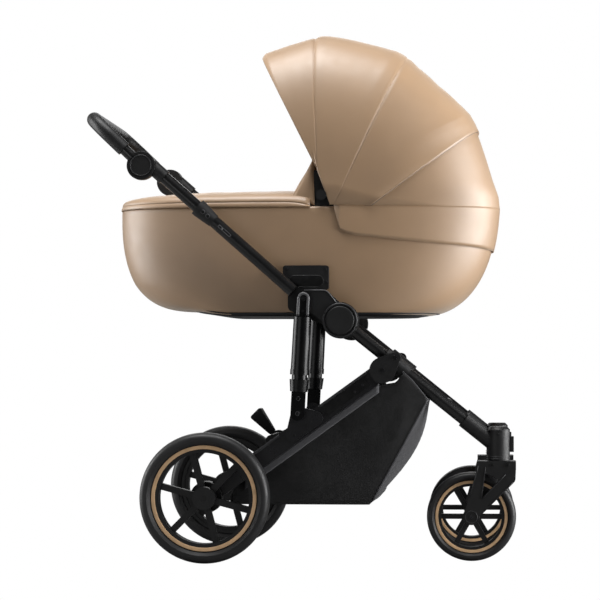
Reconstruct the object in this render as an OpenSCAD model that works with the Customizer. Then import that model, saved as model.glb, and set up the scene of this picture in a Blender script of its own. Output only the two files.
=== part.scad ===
// Bassinet pram on a folding four-wheel frame
// Units are millimetres, +X is forward, +Y is the pram's left, +Z is up

/* [Wheels] */
// rear tyre outer radius
rear_r = 140; // [120:1:160]
// rear tyre width
rear_w = 48; // [36:1:60]
// gap between the rear tube and the rear tyre
wheel_out = 14; // [13:0.5:24]
// front tyre outer radius
front_r = 96.5; // [80:0.5:110]
// front tyre width
front_w = 40; // [30:1:48]
// distance between the swivel axes of the front wheels
front_track = 330; // [322:2:380]
// front axle behind the swivel axis
trail = 59; // [40:1:70]
// number of spokes in each wheel
spokes = 6; // [5:1:8]

/* [Frame points] */
// rear axle, forward position
rear_x = -199; // [-220:1:-180]
// front axle, forward position
front_x = 370; // [350:1:390]
// fold axis, forward position
fold_x = 90; // [80:1:100]
// fold axis, height
fold_z = 520; // [510:1:530]
// rear leg pivot, forward position
swing_x = 180; // [172:1:188]
// rear leg pivot, height
swing_z = 413; // [405:1:420]
// strut top pin, forward position
strut_top_x = 12; // [6:1:18]
// strut top pin, height
strut_top_z = 567; // [560:1:574]
// strut foot pin, forward position
strut_foot_x = -1; // [-8:1:6]
// strut foot pin, height
strut_foot_z = 320; // [314:1:326]
// handle tilt axis, forward position
tilt_x = -339; // [-350:1:-330]
// handle tilt axis, height
tilt_z = 854; // [840:1:870]
// handle bar middle, forward position
bar_x = -450; // [-465:1:-435]
// handle bar middle, height
bar_z = 960; // [945:1:975]

/* [Tubes] */
// upper tube outer diameter
upper_d = 27; // [22:0.5:30]
// front tube outer diameter
front_d = 27; // [22:0.5:30]
// tube wall
tube_wall = 2; // [1.5:0.1:3]
// handle bar diameter under the grip
bar_d = 24; // [20:0.5:27]
// grip outer diameter
grip_d = 32; // [28:0.5:36]
// upper tube middle beyond the side of the tub
upper_out = 37; // [35:0.5:42]
// inner face of the fold housing beyond the side of the tub
side_gap = 7; // [5:0.5:9]
// front tube middle inside the inner face of the fold housing
front_in = 7; // [4:0.5:10]
// rear tube depth seen from the side
rear_tube_h = 38; // [30:1:42]
// rear tube width
rear_tube_w = 22; // [18:1:26]
// rear tube middle beyond the side of the tub
rear_tube_out = 14; // [9:0.5:17]
// bend radius of the handle bar corners
bar_bend = 62; // [45:1:80]

/* [Bassinet] */
// tub length at the rim
tub_l = 842; // [800:2:870]
// tub middle, forward position
tub_x = 9; // [0:1:20]
// tub width at the rim
tub_w = 426; // [400:2:428]
// underside of the tub
tub_z0 = 533; // [530:0.5:536]
// rim height
tub_z1 = 768; // [750:1:780]
// tub wall
tub_wall = 8; // [6:0.5:10]
// flat of the tub bottom is drawn in this far at the ends
tub_end_in = 150; // [140:2:170]
// flat of the tub bottom is drawn in this far at the sides
tub_side_in = 20; // [14:1:26]
// height over which the bottom edge rounds up
tub_round = 215; // [200:1:230]
// apron crown height over the rim
apron_crown = 37; // [25:1:50]
// top of the wind flap
flap_z = 868; // [840:1:880]
// mattress thickness in the middle
mattress_h = 43; // [30:1:44]

/* [Hood] */
// hood hinge, forward position
hood_x = 47; // [40:1:54]
// hood hinge, height
hood_z = 792; // [784:1:800]
// outer radius of the rear hood panel
hood_r = 383; // [370:1:385]
// side of the rear hood panel beyond the side of the tub
hood_over = 5; // [4:0.5:8]
// angle of the top edge of the rear panel
hood_rear_deg = 27; // [22:1:30]
// angle of the back bow
hood_back_deg = 64; // [58:1:68]
// angle of the front bow
hood_front_deg = 93; // [88:1:96]
// angle of the visor edge
hood_visor_deg = 114; // [110:1:116]

/* [Hidden] */
// the part to draw, or all of them

// smoothness of round parts
round_fn = 64;
// smoothness of round corners that are hulled
soft_fn = 32;
// running clearance of pins in bores, on the radius
run_gap = 0.05;
// gap between parts that pass each other
pass_gap = 0.3;
// small gap between parts that lie on each other
touch_gap = 0.3;
// overrun of cuts
over = 1;
// the front tube meets the caster housing this far above its middle
front_rise = 12;
// full turn
turn = 360;

// the frame is as wide as the tub needs
tub_half = tub_w / 2;
upper_y = tub_half + upper_out;
rear_tube_y = tub_half + rear_tube_out;
hood_w = tub_w + 2 * hood_over;
// gap between the layers of the fold housing
layer_gap = 0.5;
// inner cheek of the fold housing
cheek_in_t = 13;
cheek_in_y0 = tub_half + side_gap;
cheek_in_y1 = cheek_in_y0 + cheek_in_t;
front_y = cheek_in_y0 - front_in;
// layer of the flat fold arm
fold_arm_t = 9.5;
arm_y0 = cheek_in_y1 + layer_gap;
arm_y1 = arm_y0 + fold_arm_t;
// outer cheek of the fold housing
cheek_out_t = 10.5;
cheek_out_y0 = arm_y1 + layer_gap;
cheek_out_y1 = cheek_out_y0 + cheek_out_t;
// layer of the strut eyes
strut_eye_t = 12;
eye_y0 = cheek_out_y1 + layer_gap;
eye_y1 = eye_y0 + strut_eye_t;
strut_y = (eye_y0 + eye_y1) / 2;
// fold disc
fold_disc_r = 39;
fold_hub_r = 26;
fold_clear = 4 * fold_disc_r;
fold_pin_r = 8;
fold_cap_r = 31;
fold_cap_t = 4;
fold_flange_t = 3;
// the tubes stop this far from the fold axis
fold_reach = 136;
front_start = 24;
housing_corner_r = 8;
housing_top_z = 585;
housing_left_x = 8;
housing_back_x = -24;
housing_back_z = 551;
housing_back_r = 12;
housing_neck = 8;
housing_neck_r = 27;
housing_right_x = 65;
housing_lug_r = 15;
// seat socket and the tongue in it
tongue_x = 30;
tongue_w = 34;
tongue_t = 7;
tongue_l = 38;
socket_t = 3;
// strut
strut_eye_r = 14.5;
strut_pin_r = 5;
sleeve_top_d = 38;
sleeve_bottom_d = 39.5;
sleeve_bore = 35;
rod_d = 33;
sleeve_top_at = 40;
sleeve_bottom_at = 164;
collar_a_d = 41;
collar_b_d = 42;
collar_c_d = 37;
collar_h = 12;
rod_collar_h = 26;
foot_r = 15;
lug_stop_at = 200;
rod_top_at = 78;
// swing pivot
swing_eye_r = 28;
swing_pin_r = 7;
swing_nose_r = 17.5;
swing_out_t = 8;
swing_bridge_r = 12;
swing_bridge_x = 207;
swing_bridge_z = 440;
clamp_wall = 5;
clamp_l = 64;
// caster
swivel_x = front_x + trail;
swivel_y = front_track / 2;
caster_r = 24.5;
caster_z0 = 218;
caster_z1 = 291;
stem_r = 8;
stem_top = 262;
socket_d = 36;
// rear wheel
rear_half = rear_tube_y + rear_tube_w / 2 + wheel_out + rear_w / 2;
axle_r = 6;
rear_hub_r = 24.5;
rear_flange_r = 34;
rear_flange_t = 6;
rear_tyre_h = 27;
rear_band_t = 16;
rear_band_out = rear_r - rear_tyre_h;
rear_band_in = rear_band_out - rear_band_t;
ring_w = 8;
ring_t = 2.5;
spoke_w = 14;
spoke_t = 18;
spoke_lead = 15;
rim_share = 0.72;
front_rim_share = 0.7;
front_hub_r = 18;
front_tyre_h = 18.5;
front_band_t = 12.5;
front_band_out = front_r - front_tyre_h;
front_band_in = front_band_out - front_band_t;
front_ring_w = 6.5;
front_spoke_w = 11;
front_spoke_t = 14;
front_axle_r = 5;
// brake
drum_r = 34;
drum_gap = 0.5;
brake_pitch_r = 25;
brake_pin_d = 8;
brake_notches = 12;
brake_notch_d = 10;
brake_notch_depth = 5;
brake_pin_l = 24;
brake_bar_x = -62;
brake_bar_z = 262;
brake_bar_d = 22;
pedal_w = 46;
// fork
fork_gap = 3;
fork_t = 7;
fork_boss_r = 17;
fork_top_z0 = 198;
fork_top_z1 = 217;
// handle joint
tilt_r = 31;
tilt_pin_r = 7;
tilt_back = 14;
tilt_base_t = 12;
tilt_disc_t = 18.7;
tilt_in_y0 = upper_y - tilt_back;
tilt_in_y1 = tilt_in_y0 + tilt_base_t;
tilt_out_y0 = tilt_in_y1 + pass_gap;
tilt_out_y1 = tilt_out_y0 + tilt_disc_t;
button_r = 24;
button_gap = 0.2;
button_t = 8.5;
button_proud = 2.5;
button_y1 = tilt_out_y1 + button_proud;
button_y0 = button_y1 - button_t;
button_travel = 4;
tilt_socket_d = 32;
tilt_socket_l = 20;
tilt_tube_from = 46;
// the axis of the upper tube passes below the fold axis and above the tilt axis
tube_drop = 27;
tube_rise = 18;

// unit vectors and angles worked out from the points above
function vlen(v) = sqrt(v * v);
up_dx = tilt_x - fold_x;
up_z0 = fold_z - tube_drop;
up_dz = tilt_z + tube_rise - up_z0;
up_len = sqrt(up_dx * up_dx + up_dz * up_dz);
up_ux = up_dx / up_len;
up_uz = up_dz / up_len;
front_end_x = swivel_x - caster_r;
front_end_z = (caster_z0 + caster_z1) / 2 + front_rise;
front_dx = front_end_x - fold_x;
front_dz = front_end_z - fold_z;
front_len = sqrt(front_dx * front_dx + front_dz * front_dz);
front_dy = swivel_y - front_y;
function front_at(t) = [fold_x + front_dx * t, front_y + front_dy * t, fold_z + front_dz * t];
leg_dx = rear_x - swing_x;
leg_dz = rear_r - swing_z;
leg_len = sqrt(leg_dx * leg_dx + leg_dz * leg_dz);
leg_ux = leg_dx / leg_len;
leg_uz = leg_dz / leg_len;
strut_dx = strut_foot_x - strut_top_x;
strut_dz = strut_foot_z - strut_top_z;
strut_len = sqrt(strut_dx * strut_dx + strut_dz * strut_dz);
strut_ux = strut_dx / strut_len;
strut_uz = strut_dz / strut_len;
function up_at(r) = [fold_x + up_ux * r, upper_y, up_z0 + up_uz * r];
function leg_at(r) = [swing_x + leg_ux * r, rear_tube_y, swing_z + leg_uz * r];
function strut_at(r) = [strut_top_x + strut_ux * r, strut_y, strut_top_z + strut_uz * r];

module side(s) {
  mirror([0, s < 0 ? 1 : 0, 0])
    children();
}

module pair() {
  side(1) children();
  side(-1) children();
}

// round bar from point p to point q
module bar_between(p, q, d) {
  v = q - p;
  translate(p)
    rotate([0, acos(v[2] / vlen(v)), atan2(v[1], v[0])])
      cylinder(h = vlen(v), d = d, $fn = round_fn);
}

// round bar across the pram from y0 to y1
module cross(x, z, y0, y1, r) {
  translate([x, y0, z])
    rotate([-90, 0, 0])
      cylinder(h = y1 - y0, r = r, $fn = round_fn);
}

// small hulled disc across the pram
module puck(x, z, y0, y1, r) {
  translate([x, y0, z])
    rotate([-90, 0, 0])
      cylinder(h = y1 - y0, r = r, $fn = soft_fn);
}

// front frame
module front_tube(s) {
  side(s)
    color("#1b1b1d")
      difference() {
        bar_between(front_at(front_start / front_len), front_at(1), front_d);
        bar_between(front_at(0), front_at(1 + over / front_len), front_d - 2 * tube_wall);
        cross(fold_x, fold_z, cheek_in_y0 - over, cheek_out_y1 + over, fold_disc_r);
        swivel_cut();
      }
}

module swivel_cut() {
  translate([swivel_x, swivel_y, caster_z0 - over])
    cylinder(h = caster_z1 - caster_z0 + 2 * over, r = caster_r, $fn = round_fn);
}

crossbar_share = 0.72;
crossbar_d = 22;
module front_crossbar() {
  p = front_at(crossbar_share);
  color("#1b1b1d")
    difference() {
      bar_between([p[0], -p[1], p[2]], p, crossbar_d);
      bar_between([p[0], -p[1] - over, p[2]], [p[0], p[1] + over, p[2]], crossbar_d - 2 * tube_wall);
      pair() bar_between(front_at(0), front_at(1), front_d);
    }
}

// one cheek: a block behind a round disc, with its back corner at x, z
module cheek(y0, y1, left_x, x, z, r) {
  hull() {
    puck(housing_right_x - housing_corner_r, housing_top_z - housing_corner_r, y0, y1, housing_corner_r);
    puck(left_x + housing_corner_r, housing_top_z - housing_corner_r, y0, y1, housing_corner_r);
    puck(x, z, y0, y1, r);
    puck(fold_x - housing_neck, fold_z + housing_neck, y0, y1, housing_neck_r);
  }
  cross(fold_x, fold_z, y0 + over / 2, y1 - over / 2, fold_disc_r);
}

// block that joins the two cheeks below the swing of the fold arm
bridge_x = 69;
bridge_z = 495.4;
bridge_r = 5.5;
module fold_housing(s) {
  side(s)
    color("#19191a")
      difference() {
        union() {
          cheek(cheek_in_y0, cheek_in_y1, housing_back_x, housing_back_x + housing_back_r, housing_back_z,
            housing_back_r);
          cheek(cheek_out_y0, cheek_out_y1, housing_left_x, strut_top_x, strut_top_z, housing_lug_r);
          cross(bridge_x, bridge_z, cheek_in_y0 + over, cheek_out_y1 - over, bridge_r);
          cross(strut_top_x, strut_top_z, cheek_out_y1 - over, eye_y1, strut_pin_r);
          front_plug();
        }
        cross(fold_x, fold_z, cheek_in_y0 - over, cheek_out_y1 + over, fold_pin_r);
        seat_socket();
      }
}

// spigot of the housing inside the front tube
plug_l = 74;
module front_plug() {
  difference() {
    bar_between(front_at(0), front_at((front_start + plug_l) / front_len), front_d - 2 * tube_wall);
    translate([fold_x - fold_clear / 2, cheek_in_y1 - pass_gap, fold_z - fold_clear / 2])
      cube([fold_clear, fold_disc_r, fold_clear]);
  }
}

module seat_socket() {
  z = housing_top_z - tongue_l - pass_gap;
  translate([tongue_x - tongue_w / 2 - pass_gap, cheek_in_y0 + socket_t, z])
    cube([tongue_w + 2 * pass_gap, tongue_t, tongue_l + pass_gap + over]);
}

module fold_caps() {
  flange_y = cheek_out_y1 + fold_flange_t;
  pair()
    color("#222224") {
      cross(fold_x, fold_z, cheek_in_y0, cheek_out_y1, fold_pin_r);
      cross(fold_x, fold_z, cheek_out_y1, flange_y, fold_disc_r - over);
      cross(fold_x, fold_z, flange_y, flange_y + fold_cap_t, fold_cap_r);
    }
}

module swing_bracket(s) {
  t = (swing_bridge_x - fold_x) / front_dx;
  p = front_at(t - clamp_l / 2 / front_len);
  q = front_at(t + clamp_l / 2 / front_len);
  in_y1 = rear_tube_y - rear_tube_w / 2 - pass_gap;
  out_y0 = rear_tube_y + rear_tube_w / 2 + pass_gap;
  // the bridge reaches into the clamp wherever the front tube runs
  bridge_y0 = min(in_y1 - swing_out_t, front_at(t)[1] + front_d / 2);
  side(s)
    color("#19191a")
      difference() {
        union() {
          bar_between(p, q, front_d + 2 * clamp_wall);
          hull() {
            puck(swing_x, swing_z, in_y1 - swing_out_t, in_y1, swing_eye_r);
            puck(swing_bridge_x, swing_bridge_z, in_y1 - swing_out_t, in_y1, swing_bridge_r);
          }
          hull() {
            puck(swing_x, swing_z, out_y0, out_y0 + swing_out_t, swing_eye_r);
            puck(swing_bridge_x, swing_bridge_z, out_y0, out_y0 + swing_out_t, swing_bridge_r);
          }
          cross(swing_bridge_x, swing_bridge_z, bridge_y0, out_y0 + swing_out_t, swing_bridge_r - over);
          cross(swing_x, swing_z, in_y1 - swing_out_t, out_y0 + swing_out_t, swing_pin_r);
        }
        bar_between(front_at(0), front_at(1), front_d);
      }
}

// cap over the caster housing and the slot for its lever
cap_h = 6;
lever_w = 12;
lever_t = 8;
lever_h = 34;
lever_z0 = 236;
lever_travel = 8;
lever_rail_w = 6;
lever_rail_t = 3;
module caster_housing(s) {
  side(s)
    color("#1a1a1b")
      difference() {
        union() {
          translate([swivel_x, swivel_y, caster_z0])
            cylinder(h = caster_z1 - caster_z0 - cap_h, r = caster_r, $fn = round_fn);
          translate([swivel_x, swivel_y, caster_z1 - cap_h])
            cylinder(h = cap_h, r1 = caster_r, r2 = caster_r - cap_h, $fn = round_fn);
          difference() {
            bar_between(front_at(1 - clamp_l / front_len), front_at(1 + caster_r / front_len), socket_d);
            bar_between(front_at(0), front_at(1), front_d);
          }
        }
        translate([swivel_x, swivel_y, caster_z0 - over])
          cylinder(h = stem_top - caster_z0 + over + pass_gap, r = stem_r + run_gap, $fn = round_fn);
        translate([swivel_x + caster_r - lever_rail_t, swivel_y - lever_rail_w / 2 - pass_gap,
            lever_z0 - lever_travel - pass_gap])
          cube([caster_r, lever_rail_w + 2 * pass_gap, lever_h + lever_travel + 2 * pass_gap]);
      }
}

module lock_lever(s) {
  side(s)
    color("#2a2a2c")
      translate([swivel_x + caster_r, swivel_y, lever_z0]) {
        translate([pass_gap, -lever_w / 2, 0])
          cube([lever_t, lever_w, lever_h]);
        translate([-lever_rail_t + pass_gap, -lever_rail_w / 2, 0])
          cube([lever_rail_t + over, lever_rail_w, lever_h]);
      }
}

screw_r = 4.5;
screw_h = 2;
module frame_screws() {
  pair()
    color("#3a3a3c") {
      y = rear_tube_y + rear_tube_w / 2 + pass_gap + swing_out_t;
      cross(swing_x, swing_z, y, y + screw_h, screw_r);
      cross(swing_bridge_x, swing_bridge_z, y, y + screw_h, screw_r);
      cross(strut_top_x, strut_top_z, eye_y1, eye_y1 + screw_h, screw_r + over);
    }
}

// upper frame
arm_w = 26;
arm_neck_d = 8;
arm_overlap = 46;
module upper_tube(s) {
  p = up_at(fold_reach);
  q = up_at(up_len - tilt_tube_from);
  side(s)
    color("#1b1b1d")
      difference() {
        union() {
          difference() {
            bar_between(p, q, upper_d);
            bar_between(up_at(fold_reach + arm_overlap), up_at(up_len), upper_d - 2 * tube_wall);
          }
          difference() {
            hull() {
              puck(fold_x, fold_z, arm_y0, arm_y1, fold_hub_r);
              puck(p[0], p[2], arm_y0, arm_y1, arm_w / 2);
            }
            bar_between(p, q, upper_d - tube_wall);
          }
          // neck that carries the flat arm into the round tube
          bar_between([p[0], (arm_y0 + arm_y1) / 2, p[2]], up_at(fold_reach + arm_w / 2), arm_neck_d);
        }
        cross(fold_x, fold_z, arm_y0 - over, arm_y1 + over, fold_pin_r + run_gap);
      }
}

tilt_neck = 26;
module tilt_bases() {
  pair()
    color("#19191a") {
      difference() {
        union() {
          cross(tilt_x, tilt_z, tilt_in_y0, tilt_in_y1, tilt_r - over);
          difference() {
            bar_between(up_at(up_len - tilt_tube_from - tilt_socket_l), up_at(up_len - tilt_neck),
              tilt_socket_d);
            cross(tilt_x, tilt_z, tilt_in_y1, tilt_out_y1, tilt_r + over);
          }
        }
        bar_between(up_at(0), up_at(up_len - tilt_tube_from), upper_d);
      }
      cross(tilt_x, tilt_z, tilt_in_y1, button_y0 - button_travel - over, tilt_pin_r);
    }
}

// pull-up sleeve of the fold release
release_at = 364;
release_l = 46;
release_d1 = 29;
release_d2 = 38;
release_lip = 7;
module release_sleeve(s) {
  p = up_at(release_at);
  q = up_at(release_at + 1);
  v = q - p;
  side(s)
    color("#222224")
      translate(p)
        rotate([0, acos(v[2] / vlen(v)), atan2(v[1], v[0])])
          difference() {
            union() {
              cylinder(h = release_l - release_lip, d1 = release_d1, d2 = release_d2, $fn = round_fn);
              translate([0, 0, release_l - release_lip])
                cylinder(h = release_lip, d = release_d2, $fn = round_fn);
            }
            translate([0, 0, -over])
              cylinder(h = release_l + 2 * over, d = upper_d + 2 * run_gap, $fn = round_fn);
          }
}

// handle
bar_dx = bar_x - tilt_x;
bar_dz = bar_z - tilt_z;
bar_len = sqrt(bar_dx * bar_dx + bar_dz * bar_dz);
bar_deg = atan2(bar_dx, bar_dz);
arm_y = (tilt_out_y0 + tilt_out_y1) / 2;
arm_start = 26;
grip_start = 52;

// path of the bar: local z runs from the tilt axis to the cross piece
module bar_path(d, from) {
  translate([tilt_x, 0, tilt_z])
    rotate([0, bar_deg, 0]) {
      pair()
        translate([0, arm_y, from])
          cylinder(h = bar_len - bar_bend - from, d = d, $fn = round_fn);
      pair()
        translate([0, arm_y - bar_bend, bar_len - bar_bend])
          rotate([0, -90, 0])
            rotate_extrude(angle = 90, $fn = round_fn)
              translate([bar_bend, 0])
                circle(d = d, $fn = round_fn);
      translate([0, bar_bend - arm_y, bar_len])
        rotate([-90, 0, 0])
          cylinder(h = 2 * (arm_y - bar_bend), d = d, $fn = round_fn);
    }
}

module handle_bar() {
  color("#1b1b1d")
    difference() {
      bar_path(bar_d, arm_start);
      pair()
        cross(tilt_x, tilt_z, tilt_in_y0, tilt_out_y1 + over, tilt_r + run_gap);
    }
}

module handle_grip() {
  color("#2b2b2d")
    difference() {
      bar_path(grip_d, grip_start);
      bar_path(bar_d, arm_start);
    }
}

module tilt_discs() {
  pair()
    color("#19191a")
      difference() {
        cross(tilt_x, tilt_z, tilt_out_y0, tilt_out_y1, tilt_r);
        cross(tilt_x, tilt_z, tilt_out_y0 - over, tilt_out_y1, tilt_pin_r + run_gap);
        cross(tilt_x, tilt_z, button_y0 - button_travel - button_gap, tilt_out_y1 + over,
          button_r + button_gap);
      }
}

module tilt_button(s) {
  side(s)
    color("#262628")
      cross(tilt_x, tilt_z, button_y0, button_y1, button_r);
}

// rear leg
plate_from = 40;
plate_to = 150;
plate_t = 2.5;
plate_h_share = 0.62;
foot_in_y = rear_tube_y + rear_tube_w / 2;
foot_out_y = eye_y0 - pass_gap;
foot_a = 176;
foot_b = 236;
module leg_frame() {
  translate([swing_x, rear_tube_y, swing_z])
    rotate([0, atan2(leg_ux, leg_uz), 0])
      children();
}

module rear_tube(s) {
  side(s)
    color("#1b1b1d")
      difference() {
        union() {
          difference() {
            leg_frame()
              translate([-rear_tube_h / 2, -rear_tube_w / 2, 0])
                cube([rear_tube_h, rear_tube_w, leg_len - drum_r + rear_flange_t]);
            cross(rear_x, rear_r, 0, rear_half, drum_r);
          }
          cross(swing_x, swing_z, rear_tube_y - rear_tube_w / 2 + over, foot_in_y - over, swing_nose_r);
          hull() {
            puck(strut_foot_x, strut_foot_z, foot_in_y - over, foot_out_y, foot_r);
            puck(leg_at(foot_a)[0], leg_at(foot_a)[2], foot_in_y - over, foot_out_y, foot_r);
            puck(leg_at(foot_b)[0], leg_at(foot_b)[2], foot_in_y - over, foot_out_y, foot_r);
          }
          cross(strut_foot_x, strut_foot_z, foot_out_y - over, eye_y1, strut_pin_r);
        }
        cross(swing_x, swing_z, rear_tube_y - rear_tube_w, foot_in_y + over, swing_pin_r + run_gap);
      }
}

module side_plates() {
  pair()
    color("#151516")
      leg_frame()
        translate([-rear_tube_h * plate_h_share / 2, rear_tube_w / 2, plate_from])
          cube([rear_tube_h * plate_h_share, plate_t, plate_to - plate_from]);
}

drum_in_y = rear_tube_y - rear_tube_w / 2 - over;
drum_out_y = rear_half - rear_w / 2 - rear_flange_t - drum_gap;
axle_tube_r = 11;
module rear_axle() {
  color("#202022") {
    difference() {
      union() {
        pair() {
          cross(rear_x, rear_r, drum_in_y, drum_out_y, drum_r);
          cross(rear_x, rear_r, drum_out_y - over, rear_half + rear_w / 2 - over, axle_r);
        }
        cross(rear_x, rear_r, -drum_in_y, drum_in_y, axle_tube_r);
      }
      pair()
        cross(rear_x + brake_pitch_r, rear_r, drum_in_y - over, drum_out_y + over,
          brake_pin_d / 2 + run_gap);
    }
  }
}

module brake_pin(s) {
  side(s)
    color("#8a8a8c")
      cross(rear_x + brake_pitch_r, rear_r, drum_out_y - brake_pin_l, drum_out_y - drum_gap,
        brake_pin_d / 2);
}

// bar between the rear legs that carries the pedal
module brake_crossbar() {
  y = rear_tube_y - rear_tube_w / 2;
  color("#1b1b1d")
    difference() {
      union() {
        cross(brake_bar_x, brake_bar_z, -y, y, brake_bar_d / 2);
        pair()
          hull() {
            puck(brake_bar_x, brake_bar_z, y - swing_out_t, y, brake_bar_d / 2);
            puck(leg_at(foot_b)[0], leg_at(foot_b)[2], y - swing_out_t, y, brake_bar_d / 2);
          }
      }
      cross(brake_bar_x, brake_bar_z, -y + swing_out_t, y - swing_out_t, brake_bar_d / 2 - tube_wall);
    }
}

pedal_hub_r = 16;
pedal_pad_x = -118;
pedal_pad_z = 322;
pedal_stem_w = 24;
pedal_flare = 15;
pedal_end_r = 8;
pedal_tip_r = 5;
pedal_root_x = -78;
pedal_root_z = 276;
module brake_pedal() {
  color("#161617")
    difference() {
      union() {
        cross(brake_bar_x, brake_bar_z, -pedal_stem_w / 2, pedal_stem_w / 2, pedal_hub_r);
        hull() {
          puck(pedal_root_x, pedal_root_z, -pedal_stem_w / 2, pedal_stem_w / 2, pedal_end_r);
          puck(pedal_pad_x + pedal_flare, pedal_pad_z, -pedal_w / 2, pedal_w / 2, pedal_tip_r);
          puck(pedal_pad_x, pedal_pad_z - pedal_flare, -pedal_w / 2, pedal_w / 2, pedal_tip_r);
        }
      }
      cross(brake_bar_x, brake_bar_z, -pedal_w, pedal_w, brake_bar_d / 2 + run_gap);
    }
}

// suspension strut
module strut_frame() {
  translate([strut_top_x, strut_y, strut_top_z])
    rotate([0, atan2(strut_ux, strut_uz), 0])
      children();
}

eye_t = eye_y1 - eye_y0;
module strut_sleeve(s) {
  side(s)
    color("#1d1d1f")
      difference() {
        union() {
          strut_frame() {
            rotate([90, 0, 0])
              cylinder(h = eye_t, r = strut_eye_r, center = true, $fn = round_fn);
            translate([-strut_eye_r, -eye_t / 2, 0])
              cube([2 * strut_eye_r, eye_t, sleeve_top_at + over]);
            translate([0, 0, sleeve_top_at])
              cylinder(h = sleeve_bottom_at - sleeve_top_at, d1 = sleeve_top_d, d2 = sleeve_bottom_d,
                $fn = round_fn);
            translate([0, 0, sleeve_bottom_at - collar_h])
              cylinder(h = collar_h, d = collar_a_d, $fn = round_fn);
          }
        }
        strut_frame() {
          rotate([90, 0, 0])
            cylinder(h = 2 * eye_t, r = strut_pin_r + run_gap, center = true, $fn = round_fn);
          translate([0, 0, rod_top_at - collar_h])
            cylinder(h = sleeve_bottom_at, d = sleeve_bore, $fn = round_fn);
        }
      }
}

rod_lug_w = 30;
module strut_rod(s) {
  side(s)
    color("#1d1d1f")
      difference() {
        strut_frame() {
          translate([0, 0, rod_top_at])
            cylinder(h = lug_stop_at - rod_top_at, d = rod_d, $fn = round_fn);
          translate([0, 0, lug_stop_at - rod_collar_h])
            cylinder(h = rod_collar_h, d1 = collar_b_d, d2 = collar_c_d, $fn = round_fn);
          translate([-rod_lug_w / 2, -eye_t / 2, lug_stop_at - over])
            cube([rod_lug_w, eye_t, strut_len - lug_stop_at + over]);
          translate([0, 0, strut_len])
            rotate([90, 0, 0])
              cylinder(h = eye_t, r = rod_lug_w / 2, center = true, $fn = round_fn);
        }
        cross(strut_foot_x, strut_foot_z, eye_y0 - over, eye_y1 + over, strut_pin_r + run_gap);
      }
}

// wheels, drawn round the Y axis with the outer face towards +Y
tyre_base_share = 0.35;
tyre_pow = 0.75;
tyre_step = 10;
function tyre_profile(ri, ro, hw, hb) = let (rm = ri + (ro - ri) * tyre_base_share) concat(
  [[ri, -hb]],
  [for (a = [-90:tyre_step:90])
    [rm + (ro - rm) * pow(cos(a), tyre_pow), hw * sign(a) * pow(abs(sin(a)), tyre_pow)]],
  [[ri, hb]]);

module wheel_turn() {
  rotate([90, 0, 0])
    rotate_extrude($fn = round_fn)
      children();
}

module tyre(ri, ro, w, share) {
  color("#161616")
    wheel_turn()
      polygon(tyre_profile(ri, ro, w / 2, w * share / 2));
}

module band(r0, r1, y0, y1) {
  wheel_turn()
    translate([r0, -y1])
      square([r1 - r0, y1 - y0]);
}

module spoke_set(r0, r1, w, t) {
  for (i = [0:spokes - 1])
    rotate([0, i * turn / spokes, 0])
      translate([r0 - over, -t / 2, -w / 2])
        cube([r1 - r0 + 2 * over, t, w]);
}

module rear_rim_solid() {
  hw = rear_w * rim_share / 2;
  y_in = -rear_w / 2 - rear_flange_t;
  color("#1c1c1d")
    difference() {
      union() {
        band(rear_band_in, rear_band_out, -hw, hw);
        band(axle_r + run_gap, rear_hub_r, y_in, rear_w / 2);
        band(axle_r + run_gap, rear_flange_r, y_in, -rear_w / 2 + rear_flange_t);
        rotate([0, spoke_lead, 0])
          spoke_set(rear_hub_r, rear_band_in, spoke_w, spoke_t);
      }
      for (i = [0:brake_notches - 1])
        rotate([0, i * turn / brake_notches, 0])
          cross(brake_pitch_r, 0, y_in - over, y_in + brake_notch_depth + over, brake_notch_d / 2);
      cross(0, 0, rear_w / 2 - over, rear_w / 2 + over, axle_r);
    }
}

module rear_place(s) {
  side(s)
    translate([rear_x, rear_half, rear_r])
      children();
}

module rear_tyre(s) {
  rear_place(s)
    tyre(rear_band_out, rear_r, rear_w, rim_share);
}

module rear_rim(s) {
  rear_place(s)
    rear_rim_solid();
}

module rings(r, w, hw) {
  color("#a07c55") {
    band(r - w, r, hw, hw + ring_t);
    band(r - w, r, -hw - ring_t, -hw);
  }
}

module rear_rings(s) {
  rear_place(s)
    rings(rear_band_out, ring_w, rear_w * rim_share / 2);
}

module front_place(s) {
  side(s)
    translate([front_x, swivel_y, front_r])
      children();
}

module front_tyre(s) {
  front_place(s)
    tyre(front_band_out, front_r, front_w, front_rim_share);
}

module front_rim(s) {
  hw = front_w * front_rim_share / 2;
  front_place(s)
    color("#1c1c1d") {
      band(front_band_in, front_band_out, -hw, hw);
      band(front_axle_r + run_gap, front_hub_r, -front_w / 2, front_w / 2);
      spoke_set(front_hub_r, front_band_in, front_spoke_w, front_spoke_t);
    }
}

module front_rings(s) {
  front_place(s)
    rings(front_band_out, front_ring_w, front_w * front_rim_share / 2);
}

// swivel fork with open V-shaped sides
fork_back_x = 393;
fork_back_z = 205;
fork_back_r = 9;
fork_nose_x = 452;
fork_nose_z = 180;
fork_nose_r = 13;
fork_top_x0 = 384;
fork_top_x1 = 466;
fork_y0 = front_w / 2 + fork_gap;
fork_y1 = fork_y0 + fork_t;
module fork_side(y0, y1) {
  hull() {
    puck(front_x, front_r, y0, y1, fork_boss_r);
    puck(fork_back_x, fork_back_z, y0, y1, fork_back_r);
  }
  hull() {
    puck(front_x, front_r, y0, y1, fork_boss_r * front_rim_share);
    puck(fork_nose_x, fork_nose_z, y0, y1, fork_nose_r);
  }
  hull() {
    puck(fork_nose_x, fork_nose_z, y0, y1, fork_nose_r);
    puck(fork_back_x, fork_back_z, y0, y1, fork_back_r);
    puck(fork_top_x1 - fork_back_r, fork_back_z, y0, y1, fork_back_r);
  }
}

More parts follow.
